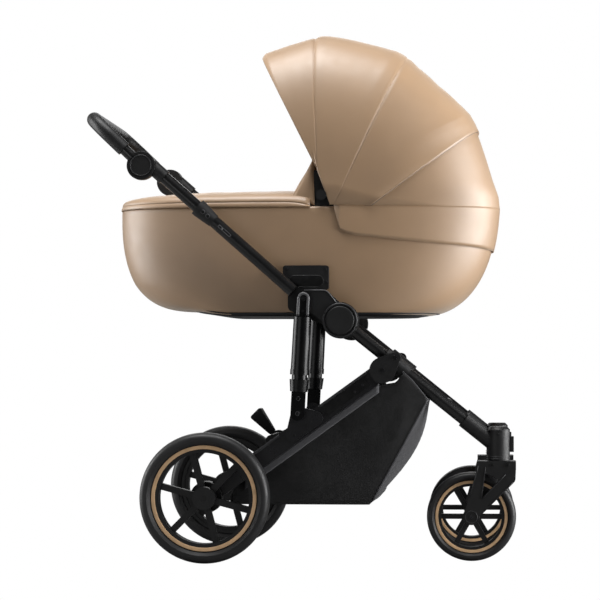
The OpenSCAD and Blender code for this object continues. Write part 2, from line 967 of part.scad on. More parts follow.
module fork(s) {
  side(s)
    color("#1a1a1b")
      translate([0, swivel_y, 0]) {
        fork_side(fork_y0, fork_y1);
        fork_side(-fork_y1, -fork_y0);
        translate([fork_top_x0, -fork_y1, fork_top_z0])
          cube([fork_top_x1 - fork_top_x0, 2 * fork_y1, fork_top_z1 - fork_top_z0]);
        translate([swivel_x, 0, fork_top_z1 - over])
          cylinder(h = stem_top - fork_top_z1 + over, r = stem_r, $fn = round_fn);
        cross(front_x, front_r, -fork_y1 - over, fork_y1 + over, front_axle_r);
      }
}

// storage basket, open at the top
basket_wall = 3;
basket_z = 125;
basket_x0 = -150;
basket_x1 = 154;
basket_nose_x = 276;
basket_nose_z = 349;
// corners of the side panel along its top, from the nose to the rear tube
basket_top = [[236, 379], [205, 384], [150, 376]];
basket_drop = 15;
basket_back_x = -136;
basket_half = rear_tube_y - rear_tube_w / 2;
basket_bulge = 34;
basket_pow = 4;
basket_mouth = 30;
// stations across the basket as shares of its half width
basket_shares = [1, 0.93, 0.8, 0.5, 0, -0.5, -0.8, -0.93, -1];
function leg_z(x) = swing_z + (x - swing_x) * leg_uz / leg_ux;
function mix(a, b, t) = a + (b - a) * t;
basket_steps = 8;
// the front wall bows forward between its foot and its top, and most in the middle
function basket_front(t, off, b) = [mix(basket_x1, basket_nose_x, t) + basket_bulge * b * sin(180 * t) - off,
  mix(basket_z, basket_nose_z, t)];
function basket_side(off, rise, b) = concat(
  [[basket_back_x + off, leg_z(basket_back_x) - basket_drop + rise],
   [basket_x0 + off, basket_z + off]],
  [for (i = [0:basket_steps - 1]) let (p = basket_front(i / basket_steps, off, b))
    [p[0], max(p[1], basket_z + off)]],
  [[basket_nose_x - off, basket_nose_z + rise]],
  [for (p = basket_top) [p[0], p[1] + rise]]);
function basket_ring(v, half, off, rise) = let (b = 1 - pow(abs(v), basket_pow))
  [for (p = basket_side(off, rise, b)) [p[0], v * half, p[1]]];

module side_slab(y0, y1) {
  translate([0, y1, 0])
    rotate([90, 0, 0])
      linear_extrude(y1 - y0)
        children();
}

module basket() {
  color("#232325")
    difference() {
      ring_stack([for (v = basket_shares) basket_ring(v, basket_half, 0, 0)]);
      // the inside reaches past the rim, so the top is open over its whole length
      ring_stack([for (v = basket_shares)
        basket_ring(v, basket_half - basket_wall, basket_wall, basket_mouth)]);
    }
}

// bassinet tub from stacked rings
ring_n = 64;
tub_pow = 2.9;
tub_floor = 32;
tub_head_draft = 22;
// heights of the rings as shares of the tub height
tub_shares = [0, 0.012, 0.04, 0.09, 0.16, 0.25, 0.38, 0.55, 0.75, 1];
tub_h = tub_z1 - tub_z0;
function tub_in(z) = let (v = min(1, (z - tub_z0) / tub_round)) 1 - sqrt(max(0, 1 - (1 - v) * (1 - v)));
function tub_lean(z) = tub_head_draft * (1 - (z - tub_z0) / tub_h) / 2;
function tub_hx(z) = tub_l / 2 - tub_end_in * tub_in(z) - tub_lean(z);
function tub_hy(z) = tub_w / 2 - tub_side_in * tub_in(z);
function tub_cx(z) = tub_x - tub_lean(z);
function spow(c, e) = sign(c) * pow(abs(c), e);
function oval(cx, hx, hy, z) = [for (i = [0:ring_n - 1]) let (a = turn * i / ring_n)
  [cx + hx * spow(cos(a), 2 / tub_pow), hy * spow(sin(a), 2 / tub_pow), z]];
function tub_ring(z, off) = oval(tub_cx(z), tub_hx(z) + off, tub_hy(z) + off, z);

// closed solid through a list of rings that all have the same number of points
module ring_stack(rings) {
  k = len(rings);
  m = len(rings[0]);
  points = [for (r = rings) each r];
  sides = [for (j = [0:k - 2], i = [0:m - 1]) let (n = (i + 1) % m)
    each [[j * m + i, (j + 1) * m + i, (j + 1) * m + n],
      [j * m + i, (j + 1) * m + n, j * m + n]]];
  first = [[for (i = [0:m - 1]) i]];
  last = [[for (i = [m - 1:-1:0]) (k - 1) * m + i]];
  polyhedron(points = points, faces = concat(sides, first, last));
}

tub_levels = [for (s = tub_shares) tub_z0 + s * tub_h];
floor_z = tub_z0 + tub_floor;
in_levels = [for (s = [1, 0.75, 0.5, 0.25, 0]) mix(floor_z, tub_z1, s)];
module bassinet_tub() {
  color("#9c7f62")
    ring_stack(concat(
      [for (z = tub_levels) tub_ring(z, 0)],
      [for (z = in_levels) tub_ring(z, -tub_wall)]));
}

base_t = 3;
base_in = 2;
base_edge = 1.5;
base_gap = 0.8;
module bassinet_base() {
  z = tub_z0;
  color("#171718")
    ring_stack([
      oval(tub_cx(z), tub_hx(z), tub_hy(z) - base_in, z - base_t),
      tub_ring(tub_levels[1], base_gap + base_edge),
      tub_ring(tub_levels[1], base_gap),
      oval(tub_cx(z), tub_hx(z), tub_hy(z), z - touch_gap)]);
}

mattress_gap = 3;
mattress_edge_share = 0.3;
mattress_crown = 9;
// shares of the outline at each ring of the crown
crown_shares = [0.97, 0.9, 0.75, 0.5, 0.2];
module mattress() {
  z0 = floor_z;
  z1 = z0 + mattress_h - mattress_crown;
  hx = tub_hx(z0) - tub_wall - mattress_gap;
  hy = tub_hy(z0) - tub_wall - mattress_gap;
  cx = tub_cx(z0);
  m = mattress_gap;
  color("#e8e2d8")
    ring_stack(concat(
      [oval(cx, hx - 2 * m, hy - 2 * m, z0),
       oval(cx, hx, hy, mix(z0, z1, mattress_edge_share)),
       oval(cx, hx, hy, mix(z0, z1, 1 - mattress_edge_share)),
       oval(cx, hx - m, hy - m, z1)],
      [for (k = crown_shares) oval(cx, hx * k, hy * k, z1 + mattress_crown * (1 - k * k))]));
}

// apron over the foot half, with a standing wind flap
apron_t = 3;
apron_nx = 16;
apron_ny = 24;
apron_edge = 2;
apron_pow = 2.6;
apron_foot_share = 0.994;
apron_x1 = -4;
flap_x = 27;
flap_t = 4;
flap_in = 23;
flap_half = tub_half - flap_in;
gusset_x0 = -12;
function rim_share(x) = abs(x - tub_x) / (tub_l / 2 + apron_edge);
function rim_hy(x) = (tub_w / 2 + apron_edge) * pow(1 - pow(rim_share(x), tub_pow), 1 / tub_pow);
apron_x0 = tub_x - (tub_l / 2 + apron_edge) * apron_foot_share;
function apron_x(i) = mix(apron_x0, apron_x1, pow(i / apron_nx, tub_pow / 2));
function apron_z(x, v) = tub_z1 + apron_t + apron_crown * (1 - pow(abs(v), apron_pow))
  * pow(1 - pow((apron_x1 - x) / (apron_x1 - apron_x0), apron_pow), 1 / apron_pow);
module apron_cover() {
  w = apron_ny + 1;
  n = (apron_nx + 1) * w;
  top = [for (i = [0:apron_nx], j = [0:apron_ny]) let (x = apron_x(i), v = 2 * j / apron_ny - 1)
    [x, v * rim_hy(x), apron_z(x, v)]];
  under = [for (p = top) [p[0], p[1], p[2] - apron_t]];
  skin = [for (i = [0:apron_nx - 1], j = [0:apron_ny - 1]) let (a = i * w + j)
    each [[a, a + 1, a + w + 1], [a, a + w + 1, a + w]]];
  back = [for (f = skin) [n + f[0], n + f[2], n + f[1]]];
  e1 = [for (j = [0:apron_ny - 1]) each [[j, n + j + 1, j + 1], [j, n + j, n + j + 1]]];
  e2 = [for (j = [0:apron_ny - 1]) let (a = apron_nx * w + j)
    each [[a, a + 1, n + a + 1], [a, n + a + 1, n + a]]];
  e3 = [for (i = [0:apron_nx - 1]) let (a = i * w) each [[a, a + w, n + a + w], [a, n + a + w, n + a]]];
  e4 = [for (i = [0:apron_nx - 1]) let (a = i * w + apron_ny)
    each [[a, n + a + w, a + w], [a, n + a, n + a + w]]];
  polyhedron(points = concat(top, under), faces = concat(skin, back, e1, e2, e3, e4));
}

module apron() {
  color("#9c7f62") {
    apron_cover();
    side_slab(-flap_half, flap_half)
      polygon([[gusset_x0, tub_z1 + apron_t * 2], [gusset_x0 + flap_t, tub_z1 + apron_t],
        [flap_x, flap_z - flap_t], [flap_x, flap_z]]);
    pair()
      side_slab(flap_half - flap_t, flap_half)
        polygon([[gusset_x0, tub_z1 + apron_t], [apron_x1, tub_z1], [flap_x - flap_t, tub_z1],
          [flap_x, flap_z]]);
  }
}

adapter_x0 = -35;
adapter_x1 = 64;
adapter_lift = 2;
adapter_h = 52;
adapter_corner = 6;
adapter_z0 = housing_top_z + adapter_lift;
adapter_z1 = adapter_z0 + adapter_h;
adapter_y = cheek_in_y0 + socket_t + tongue_t - pass_gap;
module adapters() {
  pair()
    color("#1d1d1f") {
      intersection() {
        translate([adapter_x0, 0, 0])
          rotate([90, 0, 90])
            linear_extrude(adapter_x1 - adapter_x0)
              polygon([[tub_hy(adapter_z0) + touch_gap, adapter_z0],
                [tub_hy((adapter_z0 + adapter_z1) / 2) + touch_gap, (adapter_z0 + adapter_z1) / 2],
                [tub_hy(adapter_z1) + touch_gap, adapter_z1],
                [adapter_y, adapter_z1], [adapter_y, adapter_z0]]);
        hull()
          for (x = [adapter_x0 + adapter_corner, adapter_x1 - adapter_corner],
              z = [adapter_z0 + adapter_corner, adapter_z1 - adapter_corner])
            puck(x, z, 0, tub_w, adapter_corner);
      }
      translate([tongue_x - tongue_w / 2, adapter_y - tongue_t + 2 * pass_gap, housing_top_z - tongue_l])
        cube([tongue_w, tongue_t - 2 * pass_gap, adapter_z0 - housing_top_z + tongue_l + over]);
    }
}

// hood
hood_pow = 3;
hood_t = 4;
hood_pitch = 5;
hood_pin_r = 6;
hood_eye_r = 15;
hood_step = 6;
hood_low_deg = -3;
hood_lap = 2;
function arch(r, w) = [for (a = [hood_step / 4:hood_step:180 - hood_step / 4])
  [r * pow(sin(a), 2 / hood_pow), w * spow(cos(a), 2 / hood_pow)]];
module hood_shell(k, deg0, deg1) {
  r = hood_r - k * hood_pitch;
  w = hood_w / 2 - k * hood_pitch;
  translate([hood_x, 0, hood_z]) {
    difference() {
      rotate([90, 0, 0])
        rotate([0, 0, deg0])
          rotate_extrude(angle = deg1 - deg0, $fn = round_fn)
            difference() {
              polygon(concat([[0, w]], arch(r, w), [[0, -w]]));
              polygon(concat([[0, w - hood_t]], arch(r - hood_t, w - hood_t), [[0, hood_t - w]]));
            }
      cross(0, 0, -w - over, w + over, hood_eye_r - over);
    }
    pair()
      difference() {
        cross(0, 0, w - hood_t, w, hood_eye_r);
        cross(0, 0, w - hood_t - over, w + over, hood_pin_r + run_gap);
      }
  }
}

valance_t = 3.5;
// edge of the valance in side view, from its front corner along its bottom to the head end
valance_line = [[74, 772], [83, 727], [88, 718], [101, 712], [122, 706], [243, 694], [395, 680],
  [436, 673]];
valance_x = valance_line[0][0];
valance_z = valance_line[len(valance_line) - 1][1];
valance_top = hood_z - 2 * over;
// the valance bends at the same heights as the tub behind it
valance_levels = concat([valance_z], [for (z = tub_levels) if (z > valance_z + over) z]);
function valance_ring(z, off) = oval(tub_cx(tub_z1), tub_hx(tub_z1) + off, tub_hy(tub_z1) + off, z);
module hood_rear() {
  color("#9c7f62") {
    hood_shell(0, hood_low_deg, hood_rear_deg);
    intersection() {
      side_slab(-tub_w, tub_w)
        polygon(concat(valance_line,
          [[tub_l, valance_z], [tub_l, tub_z1 + tub_h], [valance_x, tub_z1 + tub_h]]));
      difference() {
        ring_stack(concat(
          [for (z = valance_levels) tub_ring(z, touch_gap + valance_t)],
          [valance_ring(valance_top, touch_gap + valance_t)]));
        ring_stack(concat(
          [tub_ring(valance_z - over, touch_gap)],
          [for (z = valance_levels) tub_ring(z, touch_gap)],
          [valance_ring(valance_top + over, touch_gap)]));
      }
    }
  }
}

module hood_back() {
  color("#9c7f62")
    hood_shell(1, hood_rear_deg - hood_lap, hood_back_deg);
}

module hood_front() {
  color("#9c7f62")
    hood_shell(2, hood_back_deg - hood_lap, hood_front_deg);
}

module hood_visor() {
  color("#9c7f62")
    hood_shell(3, hood_front_deg - hood_lap, hood_visor_deg);
}

hinge_t = 10;
hinge_top_z = 846;
hinge_w = 34;
hinge_tab_z = 742;
hinge_head_r = 11;
hinge_head_t = 3;
hinge_gap = 1.2;
hinge_lap = 8;
module hood_hinges() {
  w = hood_w / 2 - 3 * hood_pitch - hood_t;
  y1 = w - hinge_gap;
  y_wall = tub_hy(tub_z1) - tub_wall - 2 * touch_gap;
  pair()
    color("#171718") {
      translate([hood_x - hinge_w / 2, y1 - hinge_t, tub_z1])
        cube([hinge_w, hinge_t, hinge_top_z - tub_z1]);
      translate([hood_x - hinge_w / 2, y_wall - hinge_t, hinge_tab_z])
        cube([hinge_w, hinge_t, tub_z1 + hinge_lap - hinge_tab_z]);
      cross(hood_x, hood_z, y1 - over, hood_w / 2 + pass_gap, hood_pin_r);
      cross(hood_x, hood_z, hood_w / 2 + pass_gap, hood_w / 2 + pass_gap + hinge_head_t, hinge_head_r);
    }
}

front_tube(1);  // front_tube_left
front_tube(-1);  // front_tube_right
front_crossbar();
fold_housing(1);  // fold_housing_left
fold_housing(-1);  // fold_housing_right
fold_caps();
swing_bracket(1);  // swing_bracket_left
swing_bracket(-1);  // swing_bracket_right
caster_housing(1);  // caster_housing_left
caster_housing(-1);  // caster_housing_right
frame_screws();
upper_tube(1);  // upper_tube_left
upper_tube(-1);  // upper_tube_right
tilt_bases();
release_sleeve(1);  // release_sleeve_left
release_sleeve(-1);  // release_sleeve_right
handle_bar();
handle_grip();
tilt_discs();
tilt_button(1);  // tilt_button_left
tilt_button(-1);  // tilt_button_right
rear_tube(1);  // rear_tube_left
rear_tube(-1);  // rear_tube_right
side_plates();
rear_axle();
brake_crossbar();
brake_pedal();
brake_pin(1);  // brake_pin_left
brake_pin(-1);  // brake_pin_right
basket();
strut_sleeve(1);  // strut_sleeve_left
strut_sleeve(-1);  // strut_sleeve_right
strut_rod(1);  // strut_rod_left
strut_rod(-1);  // strut_rod_right
fork(1);  // fork_left
fork(-1);  // fork_right
lock_lever(1);  // lock_lever_left
lock_lever(-1);  // lock_lever_right
front_tyre(1);  // front_tyre_left
front_tyre(-1);  // front_tyre_right
front_rim(1);  // front_rim_left
front_rim(-1);  // front_rim_right
front_rings(1);  // front_rings_left
front_rings(-1);  // front_rings_right
rear_tyre(1);  // rear_tyre_left
rear_tyre(-1);  // rear_tyre_right
rear_rim(1);  // rear_rim_left
rear_rim(-1);  // rear_rim_right
rear_rings(1);  // rear_rings_left
rear_rings(-1);  // rear_rings_right
bassinet_tub();
bassinet_base();
mattress();
apron();
adapters();
hood_hinges();
hood_rear();
hood_back();
hood_front();
hood_visor();
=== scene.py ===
# %% [markdown]
# # A bassinet pram, dressed over its working frame
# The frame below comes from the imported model: every metal tube, wheel and hinge is already in place. This
# script adds the camera, the light, the materials, the cloth and the small trim.

# %% Load the frame
import bpy
import math
import numpy as np
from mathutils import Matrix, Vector


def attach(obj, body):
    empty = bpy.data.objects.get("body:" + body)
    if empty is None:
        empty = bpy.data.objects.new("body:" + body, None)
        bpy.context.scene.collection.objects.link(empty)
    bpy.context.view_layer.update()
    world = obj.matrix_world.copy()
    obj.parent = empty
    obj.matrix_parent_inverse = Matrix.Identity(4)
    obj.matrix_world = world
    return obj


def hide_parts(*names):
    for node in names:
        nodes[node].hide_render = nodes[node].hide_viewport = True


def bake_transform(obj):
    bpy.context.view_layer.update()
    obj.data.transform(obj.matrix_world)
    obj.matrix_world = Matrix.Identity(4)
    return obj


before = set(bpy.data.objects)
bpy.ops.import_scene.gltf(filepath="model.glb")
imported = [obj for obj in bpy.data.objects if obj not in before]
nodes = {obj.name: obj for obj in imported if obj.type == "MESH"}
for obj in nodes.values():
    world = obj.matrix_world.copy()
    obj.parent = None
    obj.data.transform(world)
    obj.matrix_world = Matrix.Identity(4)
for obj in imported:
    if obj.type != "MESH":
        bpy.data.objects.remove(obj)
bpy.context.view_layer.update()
scene = bpy.context.scene
SIDES = ((-1, "right"), (1, "left"))
print("nodes in the frame:", len(nodes))

# %% [markdown]
# The photograph was taken from a long way off with a long lens, a little in front of the pram's middle
# and a little below it. A camera is a point, a point that it looks at, and a focal length.

# %% Camera
CAMERA_AT, CAMERA_AIM = Vector((0.373, -5.515, 0.433)), Vector((-0.014, 0, 0.570))


def turn_to(place, aim):
    return (Vector(aim) - Vector(place)).to_track_quat("-Z", "Y").to_euler()


camera_data = bpy.data.cameras.new("photo_camera")
camera_data.lens = 147.5
camera_data.sensor_width = 36
camera_data.clip_end = 60
camera = bpy.data.objects.new("photo_camera", camera_data)
scene.collection.objects.link(camera)
camera.location = CAMERA_AT
camera.rotation_euler = turn_to(CAMERA_AT, CAMERA_AIM)
scene.camera = camera
print("camera lens", camera_data.lens)

# %% [markdown]
# The photo's background is plain white. More light on the pram would give that too, but would bleach its
# colours. So the world and the floor show white to the camera alone, which the Light Path node can tell,
# and stay dim for every other ray.

# %% White background
WORLD_DIM, FLOOR_DIM, FLOOR_REACH = 0.06, 0.22, 14


def white_to_camera(tree, out_kind, white_kind, dim_kind, dim):
    tree.nodes.clear()
    out = tree.nodes.new(out_kind)
    mixer = tree.nodes.new("ShaderNodeMixShader")
    path = tree.nodes.new("ShaderNodeLightPath")
    unseen = tree.nodes.new(dim_kind)
    unseen.inputs["Color"].default_value = (dim, dim, dim, 1)
    white = tree.nodes.new(white_kind)
    white.inputs["Color"].default_value = (1, 1, 1, 1)
    white.inputs["Strength"].default_value = 1.0
    tree.links.new(path.outputs["Is Camera Ray"], mixer.inputs["Fac"])
    tree.links.new(unseen.outputs[0], mixer.inputs[1])
    tree.links.new(white.outputs[0], mixer.inputs[2])
    tree.links.new(mixer.outputs[0], out.inputs["Surface"])


scene.view_settings.view_transform = "Standard"
scene.view_settings.look = "None"
world = bpy.data.worlds.new("studio_world")
scene.world = world
world.use_nodes = True
white_to_camera(world.node_tree, "ShaderNodeOutputWorld", "ShaderNodeBackground", "ShaderNodeBackground",
                WORLD_DIM)

floor_mesh = bpy.data.meshes.new("studio_floor")
corners = [(FLOOR_REACH * a, FLOOR_REACH * b, 0) for a, b in ((-1, -1), (1, -1), (1, 1), (-1, 1))]
floor_mesh.from_pydata(corners, [], [(0, 1, 2, 3)])
floor = bpy.data.objects.new("studio_floor", floor_mesh)
scene.collection.objects.link(floor)
floor_mat = bpy.data.materials.new("studio_white")
floor_mat.use_nodes = True
white_to_camera(floor_mat.node_tree, "ShaderNodeOutputMaterial", "ShaderNodeEmission",
                "ShaderNodeBsdfDiffuse", FLOOR_DIM)
floor.data.materials.append(floor_mat)
print("background white to the camera")

# %% [markdown]
# Six soft lamps light the pram. Large area lamps give the wide, gentle highlights that satin leatherette
# shows: the strong one at the right makes the bright hood and tub end, the top one the sheen of the
# apron.

# %% Lamps
# Place, point lit, width, height and watts.
LAMPS = {
    "lamp_left": ((-2.6, 0.1, 1.0), (-0.2, 0, 0.7), 1.5, 2.2, 62),
    "lamp_right": ((2.7, -0.30, 0.56), (0.3, 0, 0.65), 2.2, 2.4, 164),
    "lamp_top": ((-0.30, -0.5, 3.0), (-0.05, 0, 0.7), 1.8, 0.9, 66),
    "lamp_front": ((2.6, -2.6, 1.5), (0.1, 0, 0.6), 1.8, 1.6, 3),
    "lamp_fill": ((-1.9, -3.0, 0.5), (-0.15, 0, 0.6), 1.8, 1.2, 8),
    "lamp_back": ((-0.3, 3.2, 1.9), (0, 0, 0.6), 2.4, 1.6, 24),
}
for name, (place, look_at, width, height, watts) in LAMPS.items():
    data = bpy.data.lights.new(name, "AREA")
    data.shape = "RECTANGLE"
    data.size = width
    data.size_y = height
    data.energy = watts
    lamp = bpy.data.objects.new(name, data)
    scene.collection.objects.link(lamp)
    lamp.location = place
    lamp.rotation_euler = turn_to(place, look_at)
print("lamps:", len(LAMPS))

# %% [markdown]
# A material is a small network of nodes. Each one here starts from the same kit: an object coordinate, a
# slow noise that varies the colour, a second one that varies the gloss, and a fine pattern that raises
# the surface. The sizes are in metres, so a grain of 900 means cells a little over a millimetre wide.


# %% Material kit
def srgb(r, g, b):
    def lin(v):
        v = v / 255
        return v / 12.92 if v <= 0.04045 else ((v + 0.055) / 1.055) ** 2.4
    return (lin(r), lin(g), lin(b), 1.0)


def scaled(colour, k):
    return (min(1, colour[0] * k), min(1, colour[1] * k), min(1, colour[2] * k), 1.0)


class Kit:
    """A material under construction: its nodes, and short ways to add and join them."""

    def __init__(self, name):
        self.material = bpy.data.materials.new(name)
        self.material.use_nodes = True
        self.tree = self.material.node_tree
        self.shader = self.tree.nodes["Principled BSDF"]
        self.coord = self.add("ShaderNodeTexCoord").outputs["Object"]

    def add(self, kind, **settings):
        n = self.tree.nodes.new(kind)
        for key, value in settings.items():
            setattr(n, key, value)
        return n

    def join(self, a, b):
        self.tree.links.new(a, b)

    def noise(self, scale, detail=3.0):
        n = self.add("ShaderNodeTexNoise")
        n.inputs["Scale"].default_value = scale
        n.inputs["Detail"].default_value = detail
        self.join(self.coord, n.inputs["Vector"])
        return n.outputs["Fac"]

    def cells(self, scale):
        n = self.add("ShaderNodeTexVoronoi", feature="DISTANCE_TO_EDGE")
        n.inputs["Scale"].default_value = scale
        self.join(self.coord, n.inputs["Vector"])
        return n.outputs["Distance"]

    def waves(self, scale, direction, distortion=0.4):
        n = self.add("ShaderNodeTexWave", bands_direction=direction)
        n.inputs["Scale"].default_value = scale
        n.inputs["Distortion"].default_value = distortion
        self.join(self.coord, n.inputs["Vector"])
        return n.outputs["Fac"]

    def math(self, operation, a, b):
        n = self.add("ShaderNodeMath", operation=operation)
        for i, v in enumerate((a, b)):
            if isinstance(v, (int, float)):
                n.inputs[i].default_value = v
            else:
                self.join(v, n.inputs[i])
        return n.outputs[0]

    def spread(self, fac, low, high, start=0.3, stop=0.7):
        n = self.add("ShaderNodeMapRange")
        n.inputs["From Min"].default_value = start
        n.inputs["From Max"].default_value = stop
        n.inputs["To Min"].default_value = low
        n.inputs["To Max"].default_value = high
        self.join(fac, n.inputs["Value"])
        return n.outputs["Result"]

    def colours(self, fac, dark, light, start=0.3, stop=0.7):
        n = self.add("ShaderNodeValToRGB")
        n.color_ramp.elements[0].position = start
        n.color_ramp.elements[0].color = dark
        n.color_ramp.elements[1].position = stop
        n.color_ramp.elements[1].color = light
        self.join(fac, n.inputs["Fac"])
        self.join(n.outputs["Color"], self.shader.inputs["Base Color"])
        return n.outputs["Color"]

    def raise_by(self, height, strength, distance):
        n = self.add("ShaderNodeBump")
        n.inputs["Strength"].default_value = strength
        n.inputs["Distance"].default_value = distance
        self.join(height, n.inputs["Height"])
        self.join(n.outputs["Normal"], self.shader.inputs["Normal"])

    def rough(self, fac, low, high):
        self.join(self.spread(fac, low, high), self.shader.inputs["Roughness"])

    def put(self, **values):
        """Set sockets of the shader by name, with _ for each space."""
        for key, value in values.items():
            self.shader.inputs[key.replace("_", " ")].default_value = value


print("material kit ready")

# %% [markdown]
# Leatherette covers the tub, the hood and the grip. It has fine pebbled cells under a satin skin. A
# picture of leather would stretch over the folds, so the cells are worked out in space, and a coat gives
# the satin.


# %% Leatherette
def satin_leatherette(name, colour, grain=520.0, depth=0.0006):
    k = Kit(name)
    k.colours(k.noise(7.0, 4.0), scaled(colour, 0.93), scaled(colour, 1.06))
    k.rough(k.noise(40.0), 0.47, 0.57)
    pebbles = k.math("ADD", k.cells(grain), k.math("MULTIPLY", k.noise(grain * 2.2), 0.5))
    slack = k.math("MULTIPLY", k.noise(9.0, 2.0), 1.4)
    k.raise_by(k.math("ADD", pebbles, slack), 0.16, depth)
    k.put(Sheen_Weight=0.25, Sheen_Roughness=0.45, Sheen_Tint=(1.0, 0.95, 0.86, 1))
    k.put(Specular_IOR_Level=0.85, Coat_Weight=0.80, Coat_Roughness=0.50)
    return k.material


def grip_skin(name, colour):
    k = Kit(name)
    k.colours(k.noise(24.0, 4.0), scaled(colour, 0.88), scaled(colour, 1.12))
    k.rough(k.noise(70.0), 0.46, 0.56)
    k.raise_by(k.cells(700.0), 0.05, 0.00006)
    return k.material


TAN = srgb(169, 136, 102)
cover_tan = satin_leatherette("tan_leatherette", TAN)
piping_tan = satin_leatherette("tan_piping", scaled(TAN, 0.96), 900.0, 0.0003)
# A dark tan: painted shade in the hood's seam creases, a painted shadow under the band's edge, and the
# visor's stitch line.
shade_and_stitch_tan = satin_leatherette("tan_shade_and_stitch", scaled(TAN, 0.42), 900.0, 0.0003)
grip_leather = grip_skin("grip_leatherette", srgb(14, 14, 15))
print("leatherette:", cover_tan.name, grip_leather.name)

# %% [markdown]
# The tubes are painted, the joints are moulded. Paint has a faint orange peel under a thin coat; moulded
# plastic has an even spark-eroded grain and no coat, which is what tells the two blacks apart.


# %% Paint and plastic
def gloss_paint(name, colour, gleam=0.5, coat=0.25):
    k = Kit(name)
    k.colours(k.noise(30.0), scaled(colour, 0.85), scaled(colour, 1.15))
    k.rough(k.noise(35.0, 3.0), 0.26, 0.31)
    k.raise_by(k.noise(180.0, 1.0), 0.01, 0.00002)
    k.put(Specular_IOR_Level=gleam, Coat_Weight=coat, Coat_Roughness=0.18)
    return k.material


def moulded_plastic(name, colour, low=0.42, high=0.54, grain=1100.0):
    k = Kit(name)
    k.colours(k.noise(22.0, 5.0), scaled(colour, 0.86), scaled(colour, 1.14))
    k.rough(k.noise(90.0), low, high)
    k.raise_by(k.math("ADD", k.cells(grain), k.noise(grain, 2.0)), 0.10, 0.00012)
    return k.material


frame_paint = gloss_paint("frame_paint", srgb(15, 15, 16))
leg_paint = gloss_paint("leg_paint", srgb(28, 28, 30))
strut_black = gloss_paint("strut_black", srgb(8, 8, 9), 0.3, 0.0)
black_plastic = moulded_plastic("black_plastic", srgb(19, 19, 20))
soft_black = moulded_plastic("soft_black_plastic", srgb(17, 17, 18), 0.5, 0.62)
plate_black = moulded_plastic("plate_black", srgb(6, 6, 7), 0.3, 0.4)
rim_plastic = moulded_plastic("rim_plastic", srgb(17, 17, 18), 0.38, 0.5)
print("paints:", frame_paint.name, leg_paint.name, strut_black.name)

# %% [markdown]
# Rubber is dull, with dust in it that a coarse noise spreads. The bronze ring on each rim is a lacquer
# with a little metal in it. Pins and screws are plain steel, where the colour is the colour of the
# reflection.


# %% Rubber and metal
def tyre_rubber(name, colour):
    k = Kit(name)
    k.colours(k.noise(26.0, 6.0), scaled(colour, 0.8), scaled(colour, 1.3))
    k.rough(k.noise(60.0), 0.42, 0.54)
    k.raise_by(k.math("ADD", k.noise(900.0, 3.0), k.math("MULTIPLY", k.noise(120.0), 0.4)), 0.12, 0.0003)
    return k.material


def bronze_trim(name, colour):
    k = Kit(name)
    k.colours(k.noise(45.0, 4.0), scaled(colour, 0.86), scaled(colour, 1.12))
    k.rough(k.noise(160.0), 0.3, 0.42)
    k.raise_by(k.noise(1300.0, 2.0), 0.06, 0.0003)
    k.put(Metallic=0.15)
    return k.material


def bright_steel(name, colour):
    k = Kit(name)
    k.colours(k.noise(60.0, 4.0), scaled(colour, 0.85), scaled(colour, 1.1))
    k.rough(k.noise(300.0), 0.25, 0.38)
    k.put(Metallic=1.0)
    return k.material


rubber = tyre_rubber("tyre_rubber", srgb(29, 29, 30))
bronze = bronze_trim("bronze_ring", srgb(232, 192, 148))
pin_steel = bright_steel("pin_steel", srgb(180, 180, 182))
dark_steel = bright_steel("screw_steel", srgb(70, 70, 72))
print("rubber and metal:", rubber.name, bronze.name, pin_steel.name)

# %% [markdown]
# Woven cloth is two sets of waves that cross, one for the warp and one for the weft. Real threads would
# need millions of faces; here they only tint the colour and raise the surface.


# %% Cloth
def woven_cloth(name, colour, thread=1500.0, contrast=1.35):
    k = Kit(name)
    warp = k.math("MULTIPLY", k.waves(thread, "X"), k.waves(thread, "Z"))
    weft = k.waves(thread * 0.8, "Y")
    weave = k.math("ADD", warp, k.math("MULTIPLY", weft, 0.6))
    k.colours(k.math("ADD", k.math("MULTIPLY", weave, 0.35), k.math("MULTIPLY", k.noise(14.0, 5.0), 0.65)),
              scaled(colour, 1 / contrast), scaled(colour, contrast))
    k.rough(k.noise(30.0), 0.72, 0.88)
    k.raise_by(weave, 0.3, 0.0005)
    k.put(Sheen_Weight=0.15, Sheen_Roughness=0.5)
    return k.material


def quilted_cotton(name, colour):
    k = Kit(name)
    k.colours(k.noise(18.0, 4.0), scaled(colour, 0.94), scaled(colour, 1.03))
    k.rough(k.noise(50.0), 0.8, 0.92)
    k.raise_by(k.math("ADD", k.waves(900.0, "X"), k.waves(900.0, "Y")), 0.2, 0.0004)
    k.put(Sheen_Weight=0.2)
    return k.material


zip_tape = woven_cloth("zip_tape", scaled(TAN, 0.80), 2400.0, 1.15)
lining_tan = woven_cloth("hood_lining", scaled(TAN, 0.75), 1800.0, 1.15)
basket_cloth = woven_cloth("basket_cloth", srgb(16, 16, 17))
basket_front_cloth = woven_cloth("basket_front_cloth", srgb(62, 62, 65), 1800.0, 1.2)
binding_cloth = woven_cloth("basket_binding", srgb(86, 86, 89), 2200.0, 1.15)
grip_thread = woven_cloth("grip_thread", srgb(74, 74, 76), 2600.0, 1.1)
white_cotton = quilted_cotton("mattress_cotton", srgb(226, 221, 212))
print("materials:", len(bpy.data.materials))

# %% [markdown]
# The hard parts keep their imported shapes. Their points are never moved, but modifiers may soften them:
# Weld joins the split points, Bevel rounds every sharp edge by less than a millimetre so that it catches
# the light, and Weighted Normal keeps the flats flat. Round stock only has its sharp edges split, because
# a bevel would find edges in its facets.

# %% Soften the hard parts
ROUND_STOCK = ("upper_tube", "front_tube", "front_crossbar", "handle", "brake_crossbar", "strut", "release",
               "front_tyre", "rear_tyre")
EDGE_ROUND, WELD_REACH, SHARP = 0.0008, 0.00002, math.radians(38)


